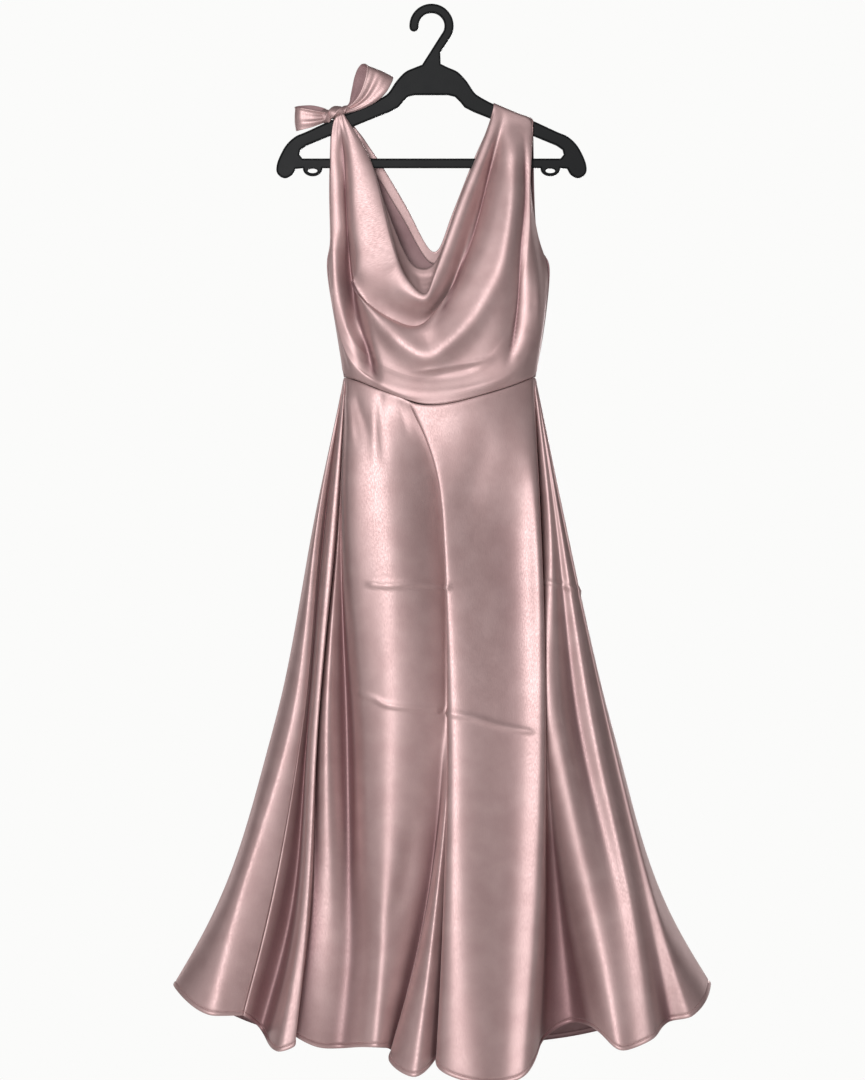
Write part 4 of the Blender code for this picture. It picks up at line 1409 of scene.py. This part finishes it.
@dataclass(frozen=True)
class Ribbon:
    """One loop of the bow: a ribbon between its near and far edge, from the knot round and back to it."""

    name: str
    near: tuple[Triple, ...]
    far: tuple[Triple, ...]
    curl: float  # how far the ribbon's middle bows out
    flat: Triple  # width, length and area of the cut
    pleats: float = 1.3  # gathers over its width, which spread from the knot
    small_pleats: float = 2.7
    pleat: float = 2.3
    small_share: float = 0.4  # height of the small gathers, as a share of the others
    rim: float = 1.1  # how far the turned near edge stands out
    rim_width: float = 0.07

    def grid(self, along: int, wide: int) -> np.ndarray:
        """Work out the ribbon's points.

        Args:
            along: Points along it.
            wide: Points over its width.

        Returns:
            A grid whose first row is the near edge.
        """
        at = np.linspace(0, 1, along)
        near, far = (
            spline(np.linspace(0, 1, len(edge)), np.array(edge)[:, [0, 2, 1]], at)
            for edge in (self.near, self.far)
        )
        across = np.linspace(0, 1, wide)[:, None]
        grid = near + (far - near) * across[..., None]
        open_share = np.sin(np.pi * at)  # 0 in the knot to 1 at the loop's far end
        gathered = np.abs(np.cos(np.pi * at)) ** 1.3 * open_share**0.4
        waves = np.sin(2 * np.pi * (self.pleats * across + 0.3))
        waves = waves + self.small_share * np.sin(2 * np.pi * (self.small_pleats * across + at))
        lift = self.curl * np.sin(np.pi * across) * open_share**0.5
        lift = lift + self.pleat * gathered * waves
        lift = lift + self.rim * hump(across, 0, self.rim_width) * open_share**0.3
        return moved_out(eased(grid, 1, 2), -lift)[:, ::-1]


@dataclass(frozen=True)
class Winding:
    """A tight winding of cloth with ridges that twist along it."""

    name: str
    centre: Triple
    half: Triple  # half its length, depth and height
    tilt: float  # slope of its length, in degrees
    ridges: int = 4
    turns: float = 4.8  # radians by which the ridges turn from the middle to each end
    ridge: float = 0.16
    ripple: float = 0.05
    blunt: float = 3.2  # the higher, the blunter its ends
    rings: int = 40
    around: int = 72
    slack: Pair = (0.7, 0.6)  # cloth between two mesh points, round it and along it

    def build(self, finish: bpy.types.Material) -> bpy.types.Object:
        """Make the winding.

        Args:
            finish: Its material.

        Returns:
            The closed piece.
        """
        along = np.linspace(-1, 1, self.rings)[:, None]
        angles = np.linspace(0, 2 * np.pi, self.around, endpoint=False)
        twist = self.ridges * angles + self.turns * along
        ridge = 1 - self.ridge * np.abs(np.sin(twist / 2)) ** 0.6 + self.ripple * np.sin(angles + 2 * along)
        radius = (1 - np.abs(along) ** self.blunt) ** 0.5 * ridge
        x = np.repeat(along, self.around, 1) * self.half[0]
        y = radius * np.cos(angles) * self.half[1]
        z = radius * np.sin(angles) * self.half[2]
        cos, sin = math.cos(math.radians(self.tilt)), math.sin(math.radians(self.tilt))
        points = np.stack([x * cos - z * sin, y, x * sin + z * cos], axis=-1) + np.array(self.centre)
        index = np.arange(self.rings * self.around).reshape(self.rings, self.around)
        places = np.stack([index % self.around, index // self.around], axis=-1) * np.array(self.slack) * MM
        ring = np.hstack([index, index[:, :1]])
        faces = np.stack([ring[:-1, :-1], ring[:-1, 1:], ring[1:, 1:], ring[1:, :-1]], axis=-1)
        mesh = woven_mesh(self.name, points, faces, places)
        return add_object(self.name, closed(mesh, [mesh], 0.02 * MM), finish)


@dataclass
class Bow:
    """The bow tied over the gathered shoulder: two loops, the knot, and a band and a nub beside it."""

    finish: Finishes
    knot: Winding = Winding("bow_knot_twist", (-137.8, -1.5, -144.6), (13.4, 10.8, 10.0), 14.0)
    band: Winding = Winding("bow_band", (-153.0, -1.0, -150.4), (8.4, 9.8, 11.4), 12.0)
    nub: Winding = Winding("bow_nub", (-124.5, 0.0, -140.5), (7.6, 8.4, 6.6), 32.0)
    ribbon_thickness: float = 0.9
    ribbon_mesh: tuple[int, int] = (120, 34)  # points along it and over its width
    ribbons: tuple[Ribbon, ...] = (
        Ribbon(
            "bow_loop_left",
            ((-144, -144, -1), (-152, -144.5, -5), (-160, -143.6, -7), (-174, -141, -8.6),
             (-188, -138.4, -8.4), (-196, -137.4, -4), (-197, -136, 1), (-191, -134, 6), (-176, -133, 8),
             (-160, -136, 6), (-152, -139.5, 4), (-144, -142, 1)),
            ((-144, -151, -3), (-152, -156.6, -6.4), (-160, -161, -7.4), (-174, -166.2, -8.8),
             (-188, -169.6, -8), (-195, -171, -4), (-196, -171, 1), (-191, -169.5, 6), (-176, -165, 8),
             (-160, -159, 7), (-152, -155, 6), (-144, -150, 3)),
            1.6, (0.11, 0.036, 0.003),
        ),
        Ribbon(
            "bow_loop_right",
            ((-128, -139, 2), (-119, -130, 6), (-117.5, -121, 8), (-114.6, -105, 10), (-111.5, -91, 10),
             (-107, -80, 7), (-101, -74.6, 2), (-96, -75.6, -4), (-93.8, -80, -7), (-95.6, -94.5, -8.6),
             (-104, -117.5, -8), (-115.5, -132, -5), (-128, -140, -2)),
            ((-127, -145, 3), (-114, -141, 6.5), (-102, -135, 8.5), (-86, -124, 10), (-72, -110, 11),
             (-62, -97, 8), (-56, -92.5, 3), (-55.6, -95, -3), (-59, -104, -7), (-67, -117, -8.6),
             (-81, -129.5, -8), (-104, -140.5, -7), (-127, -146, -4)),
            1.4, (0.15, 0.05, 0.0046),
        ),
    )

    def build(self) -> list[bpy.types.Object]:
        """Make the bow.

        Returns:
            Its loops, knot, band and nub.
        """
        made = []
        for ribbon in self.ribbons:
            grid = ribbon.grid(*self.ribbon_mesh)
            piece = cloth_object(f"{ribbon.name}_ribbon", grid, self.finish, self.ribbon_thickness)
            made.append(settled(piece, ribbon.name))
        for winding, node in ((self.knot, "bow_knot"), (self.band, ""), (self.nub, "")):
            made.append(settled(winding.build(self.finish.satin), node))
        return made


# -------------------- stitches


@dataclass
class Lockstitch:
    """Lockstitch seams: a row of short threads along each sewn line."""

    finish: Finishes
    pitch: float = 3.2
    length: float = 2.3
    thread: float = 0.34  # half the thread's width, drawn a little full so that it shows
    uneven: Pair = (0.86, 1.1)  # smallest and largest stitch, as shares of the length
    seed: int = 11

    def tree(self) -> bpy.types.NodeTree:
        """Build the node tree that lays the threads.

        Returns:
            A geometry node tree with named inputs for its sizes, seed and thread.
        """
        tree = bpy.data.node_groups.new("Lockstitch", "GeometryNodeTree")
        sockets = {
            "Line": "Geometry", "Pitch": "Float", "Stitch length": "Float", "Thread radius": "Float",
            "Smallest": "Float", "Largest": "Float", "Seed": "Int", "Thread": "Material",
        }
        for name, kind in sockets.items():
            tree.interface.new_socket(name, in_out="INPUT", socket_type=f"NodeSocket{kind}")
        tree.interface.new_socket("Stitches", in_out="OUTPUT", socket_type="NodeSocketGeometry")
        given = add_node(tree, "NodeGroupInput").outputs
        curve = add_node(tree, "GeometryNodeMeshToCurve", {"Mesh": given["Line"]})
        places = add_node(tree, "GeometryNodeCurveToPoints", {
            "Curve": curve.outputs["Curve"], "Length": given["Pitch"],
        }, mode="LENGTH")
        ball = add_node(tree, "GeometryNodeMeshUVSphere", {"Segments": 6, "Rings": 4, "Radius": 1.0})
        half = add_node(tree, "ShaderNodeMath", {0: given["Stitch length"], 1: 0.5}, operation="MULTIPLY")
        size = add_node(tree, "ShaderNodeCombineXYZ", {
            "X": given["Thread radius"], "Y": given["Thread radius"], "Z": half.outputs["Value"],
        })
        stitch = add_node(tree, "GeometryNodeTransform", {
            "Geometry": ball.outputs["Mesh"], "Scale": size.outputs["Vector"],
        })
        uneven = add_node(tree, "FunctionNodeRandomValue", {
            2: given["Smallest"], 3: given["Largest"], "Seed": given["Seed"],
        }, data_type="FLOAT")
        laid = add_node(tree, "GeometryNodeInstanceOnPoints", {
            "Points": places.outputs["Points"], "Instance": stitch.outputs["Geometry"],
            "Rotation": places.outputs["Rotation"], "Scale": uneven.outputs[1],
        })
        plain = add_node(tree, "GeometryNodeRealizeInstances", {"Geometry": laid.outputs["Instances"]})
        dressed = add_node(tree, "GeometryNodeSetMaterial", {
            "Geometry": plain.outputs["Geometry"], "Material": given["Thread"],
        })
        add_node(tree, "NodeGroupOutput", {"Stitches": dressed.outputs["Geometry"]})
        return tree

    def build(self, seams: dict[str, list[np.ndarray]]) -> list[bpy.types.Object]:
        """Sew every seam.

        Args:
            seams: A piece's name to the lines that it is sewn along, in millimetres.

        Returns:
            One piece for each name.
        """
        tree = self.tree()
        values = {
            "Pitch": self.pitch * MM, "Stitch length": self.length * MM, "Thread radius": self.thread * MM,
            "Smallest": self.uneven[0], "Largest": self.uneven[1], "Seed": self.seed,
            "Thread": self.finish.thread,
        }
        made = []
        for name, lines in seams.items():
            ends = np.cumsum([len(line) for line in lines])
            edges = [(i, i + 1) for i in range(ends[-1] - 1) if i + 1 not in ends]
            mesh = bpy.data.meshes.new(name)
            mesh.from_pydata((np.vstack(lines) * MM).tolist(), edges, [])
            piece = add_object(name, mesh)
            sewing = piece.modifiers.new("Lockstitch", "NODES")
            sewing.node_group = tree
            for socket in tree.interface.items_tree:
                if socket.name in values:
                    sewing[socket.identifier] = values[socket.name]
            threads = evaluated_mesh(piece)
            piece.modifiers.remove(sewing)
            piece.data = threads
            threads.shade_smooth()
            made.append(settled(piece))
        return made


# -------------------- hanger


@dataclass
class Hanger:
    """The hanger, one moulding: a flat web with a proud rim all round it, a hook, a bar and strap loops."""

    finish: Finishes
    thickness: float = 9.0
    web_sink: float = 1.9
    rim: float = 2.6
    hook_radius: float = 25.4
    hook_width: float = 13.4
    hook_centre: Pair = (0.0, -18.7)
    hook_tip: float = 183.0
    hook_stem: float = -28.0
    hook_base: tuple[Pair, ...] = ((-13.7, -75.0), (12.8, -57.5), (13.3, -73.8))
    arm: tuple[Pair, ...] = (
        (24, -79.0), (38, -85.5), (51, -99), (61.5, -114.6), (70, -121.5), (89, -131.7), (113, -142),
        (147, -156.3), (181, -172), (198, -179.6), (212, -193.3), (222.4, -213.8), (225, -227.5),
        (220.7, -236), (212, -239.5), (201.8, -234.3), (196.7, -225.8),
    )
    bar_bottom: float = -224.8
    window: tuple[Pair, ...] = (
        (24, -119), (34, -121.4), (41, -128.3), (48, -136.8), (61.6, -143.7), (78.7, -150.5),
        (150.5, -179.6), (181.3, -192.3), (190, -198.4), (191.6, -205.3), (187, -211),
    )
    loop: Pair = (172.3, -225.6)
    loop_outer: Pair = (14.2, 11.0)
    loop_hole: Pair = (7.0, 3.4)
    loop_drop: float = 3.2
    top_count: int = 13  # points of the arm along its upper edge
    smooth_steps: int = 4  # mesh points between two of the arm's
    hook_points: tuple[int, int] = (60, 52)  # mesh points round its outside and its inside
    tip_points: int = 14
    loop_points: tuple[int, int] = (44, 24)
    loop_root: float = 1.0  # how far below its middle the strap loop leaves the bar
    tightest: float = 0.2  # keeps the rim's line from shooting out at a sharp corner
    bevel_steps: int = 3
    sharp: float = 35.0  # edges that turn more than this stay sharp, in degrees

    def top_edge(self) -> np.ndarray:
        """List the arm's upper edge, over which cloth can hang."""
        return np.array(self.arm[: self.top_count], float)

    def arc(
        self, centre: Pair, radii: Pair, start: float, end: float, count: int, whole: bool = False
    ) -> list[Pair]:
        """List points on a part of an ellipse.

        Args:
            centre: Its middle.
            radii: Its half width and half height.
            start: First angle, in degrees.
            end: Last angle.
            count: Points in all.
            whole: Leaves out the last point, which closes a whole ellipse.

        Returns:
            The points in order.
        """
        angles = np.radians(np.linspace(start, end, count, endpoint=not whole))
        return [(centre[0] + radii[0] * math.cos(a), centre[1] + radii[1] * math.sin(a)) for a in angles]

    def outline(self) -> list[Pair]:
        """List the outer edge.

        Returns:
            The points from the hook's stem round the hook and both arms.
        """
        knots = np.arange(len(self.arm))
        edge = [tuple(p) for p in spline(knots, np.array(self.arm, float), between(knots, self.smooth_steps))]
        (x, z), (wide, _) = self.loop, self.loop_outer
        round_loop = self.arc(self.loop, self.loop_outer, 0, 360, self.loop_points[0], True)
        under = [p for p in round_loop if p[1] < z - self.loop_root]
        right = [*edge, (x + wide, self.bar_bottom), *reversed(under), (x - wide, self.bar_bottom)]
        left = [(-x, z) for x, z in reversed(right)]
        half = self.hook_width / 2
        outer, inner = self.hook_radius + half, self.hook_radius - half
        many, fewer = self.hook_points
        outside = self.arc(self.hook_centre, (outer, outer), self.hook_tip, self.hook_stem, many)
        inside = self.arc(self.hook_centre, (inner, inner), self.hook_stem, self.hook_tip, fewer)
        middle = (self.hook_radius, self.hook_radius)
        end = self.arc(self.hook_centre, middle, self.hook_tip, self.hook_tip, 1)[0]
        tip = self.arc(end, (half, half), self.hook_tip + 180, self.hook_tip, self.tip_points)[1:-1]
        return [self.hook_base[0], *inside, *tip, *outside, *self.hook_base[1:], *right, *left]

    def drawn(self, name: str, lines: list[list[Pair]], **settings: str | float) -> bpy.types.Object:
        """Draw closed lines as a curve that stands upright.

        Args:
            name: The curve's name.
            lines: Its lines, in millimetres.
            **settings: Its fill and its sizes.

        Returns:
            The curve.
        """
        curve = bpy.data.curves.new(name, "CURVE")
        for key, value in settings.items():
            setattr(curve, key, value)
        for points in lines:
            line = curve.splines.new("POLY")
            line.points.add(len(points) - 1)
            for place, (x, z) in zip(line.points, points):
                place.co = (x * MM, z * MM, 0, 1)
            line.use_cyclic_u = True
        made = add_object(name, curve)
        made.rotation_euler = (math.radians(90), 0, 0)
        return made

    def bead(self, points: list[Pair], wide: float, way: int) -> bpy.types.Object:
        """Make the rim along one edge, rounded over and as deep as the whole moulding.

        Args:
            points: The edge, as a closed loop.
            wide: The rim's width.
            way: 1 where the plastic lies inside the loop, or -1 where it lies round it.

        Returns:
            The rim's curve.
        """
        edge = np.array(points)
        ahead, behind = np.roll(edge, -1, 0) - edge, edge - np.roll(edge, 1, 0)
        along = sum(step / np.linalg.norm(step, axis=1)[:, None] for step in (ahead, behind))
        along /= np.maximum(np.linalg.norm(along, axis=1), self.tightest)[:, None]
        turn = np.sum(edge[:, 0] * np.roll(edge[:, 1], -1) - np.roll(edge[:, 0], -1) * edge[:, 1])
        side = np.stack([-along[:, 1], along[:, 0]], axis=1) * math.copysign(wide / 2, turn)
        return self.drawn(
            "hanger_rim", [(edge + way * side).tolist()], dimensions="3D", fill_mode="FULL",
            bevel_depth=wide / 2 * MM, bevel_resolution=self.bevel_steps,
            extrude=(self.thickness - wide) / 2 * MM,
        )

    def build(self) -> list[bpy.types.Object]:
        """Make the moulding.

        Returns:
            The hanger.
        """
        window = [*self.window, *((-x, z) for x, z in reversed(self.window))]
        x, z = self.loop
        holes = [
            self.arc((at, z - self.loop_drop), self.loop_hole, 0, 360, self.loop_points[1], True)
            for at in (-x, x)
        ]
        edges = [self.outline(), window, *holes]
        web = self.drawn("hanger_web", edges, dimensions="2D", fill_mode="BOTH",
                         extrude=(self.thickness / 2 - self.web_sink) * MM)
        rims = (self.rim, self.rim, self.rim / 2, self.rim / 2)
        curves = [web, *(self.bead(*row) for row in zip(edges, rims, (1, -1, -1, -1)))]
        bpy.context.view_layer.update()
        parts = []
        for curve in curves:
            parts.append(evaluated_mesh(curve))
            parts[-1].transform(curve.matrix_world)
            bpy.data.objects.remove(curve)
        mesh = closed(bpy.data.meshes.new("hanger_moulding"), parts, 0.01 * MM)
        mesh.set_sharp_from_angle(angle=math.radians(self.sharp))
        made = add_object("hanger_moulding", mesh, self.finish.plastic)
        return [settled(made, "hanger")]


# -------------------- studio


@dataclass(frozen=True)
class Softbox:
    """One soft studio light."""

    name: str
    place: Triple
    size: Pair
    power: float


@dataclass
class Studio:
    """Pale floor, soft light and a long-lens camera that looks square at the front."""

    middle: Triple = (0.00145, 0.0, -0.764)  # what the camera looks at
    view_height: float = 1.566  # what the frame takes in, at the hanger
    distance: float = 9.0
    floor_drop: float = 0.98  # below the middle
    floor_radius: float = 2.2
    backdrop: str = "#FBFBFA"
    room: str = "#E9E6E6"
    room_light: float = 0.05
    boxes: tuple[Softbox, ...] = (
        Softbox("key", (-0.6, -3.5, 0.9), (1.1, 1.9), 122),
        Softbox("left", (-2.8, -1.2, 0.2), (0.5, 2.4), 5),
        Softbox("right", (2.8, -1.0, 0.1), (0.5, 2.4), 3),
        Softbox("back", (0.7, 3.4, 0.9), (1.2, 2.0), 84),
        Softbox("back_left", (-2.4, 2.6, 0.6), (0.9, 2.2), 16),
        Softbox("back_right", (2.4, 2.6, 0.3), (0.9, 2.2), 14),
    )

    def build(self) -> None:
        """Set up the camera, the lights, the floor and the world."""
        middle = Vector(self.middle)
        lens = bpy.data.cameras.new("Portrait camera")
        lens.sensor_width = 36.0
        lens.lens = lens.sensor_width * self.distance / self.view_height
        lens.clip_end = 60.0
        camera = add_object("Portrait camera", lens)
        camera.location = middle - Vector((0, self.distance, 0))
        camera.rotation_euler = (math.radians(90), 0, 0)
        bpy.context.scene.camera = camera
        for box in self.boxes:
            light = bpy.data.lights.new(box.name, "AREA")
            light.shape = "RECTANGLE"
            light.size, light.size_y = box.size
            light.energy = box.power
            lamp = add_object(f"softbox_{box.name}", light)
            lamp.location = middle + Vector(box.place)
            lamp.rotation_euler = (-Vector(box.place)).to_track_quat("-Z", "Y").to_euler()
            lamp.visible_camera = False
        self.lay_floor()
        self.light_world()

    def lay_floor(self) -> None:
        """Lay a pale floor below the hem."""
        mesh = bpy.data.meshes.new("studio_floor")
        work = bmesh.new()
        bmesh.ops.create_circle(work, cap_ends=True, radius=self.floor_radius, segments=96)
        drop = Vector((0, 0, self.floor_drop))
        bmesh.ops.translate(work, verts=work.verts, vec=Vector(self.middle) - drop)
        work.to_mesh(mesh)
        work.free()
        add_object("studio_floor", mesh, PaintedBoard().build())

    def light_world(self) -> None:
        """Surround the dress with a pale room that is dimmer where the lights aren't."""
        world = bpy.data.worlds.new("Studio")
        bpy.context.scene.world = world
        world.use_nodes = True
        tree = world.node_tree
        tree.nodes.clear()
        seen = add_node(tree, "ShaderNodeBackground", {"Color": linear(self.backdrop), "Strength": 1.0})
        room = add_node(tree, "ShaderNodeBackground", {
            "Color": linear(self.room), "Strength": self.room_light,
        })
        rays = add_node(tree, "ShaderNodeLightPath")
        mixed = add_node(tree, "ShaderNodeMixShader", {
            0: rays.outputs["Is Camera Ray"], 1: room.outputs["Background"], 2: seen.outputs["Background"],
        })
        add_node(tree, "ShaderNodeOutputWorld", {"Surface": mixed.outputs["Shader"]})
        bpy.context.scene.view_settings.view_transform = "Standard"


def main() -> None:
    """Build the dress on its hanger and its studio."""
    logging.basicConfig(level=logging.INFO, format="%(name)s: %(message)s")
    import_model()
    kinds = (CharmeuseSatin(), crepe_back_and_inner_shade(), MouldedPolypropylene(), SpunPolyesterThread())
    finish = Finishes(*(kind.build() for kind in kinds))
    waist = Waist()
    hanger = Hanger(finish)
    skirt, bodice = Skirt(finish, waist), Bodice(finish, waist, hanger.top_edge())
    pieces = []
    for part in (hanger, skirt, bodice, Bow(finish)):
        pieces += part.build()
    pieces += Lockstitch(finish).build({**skirt.seams, **bodice.seams})
    Studio().build()
    for piece in pieces:
        LOG.info("%s: %d faces", piece.name, len(piece.data.polygons))


if __name__ == "__main__":
    main()
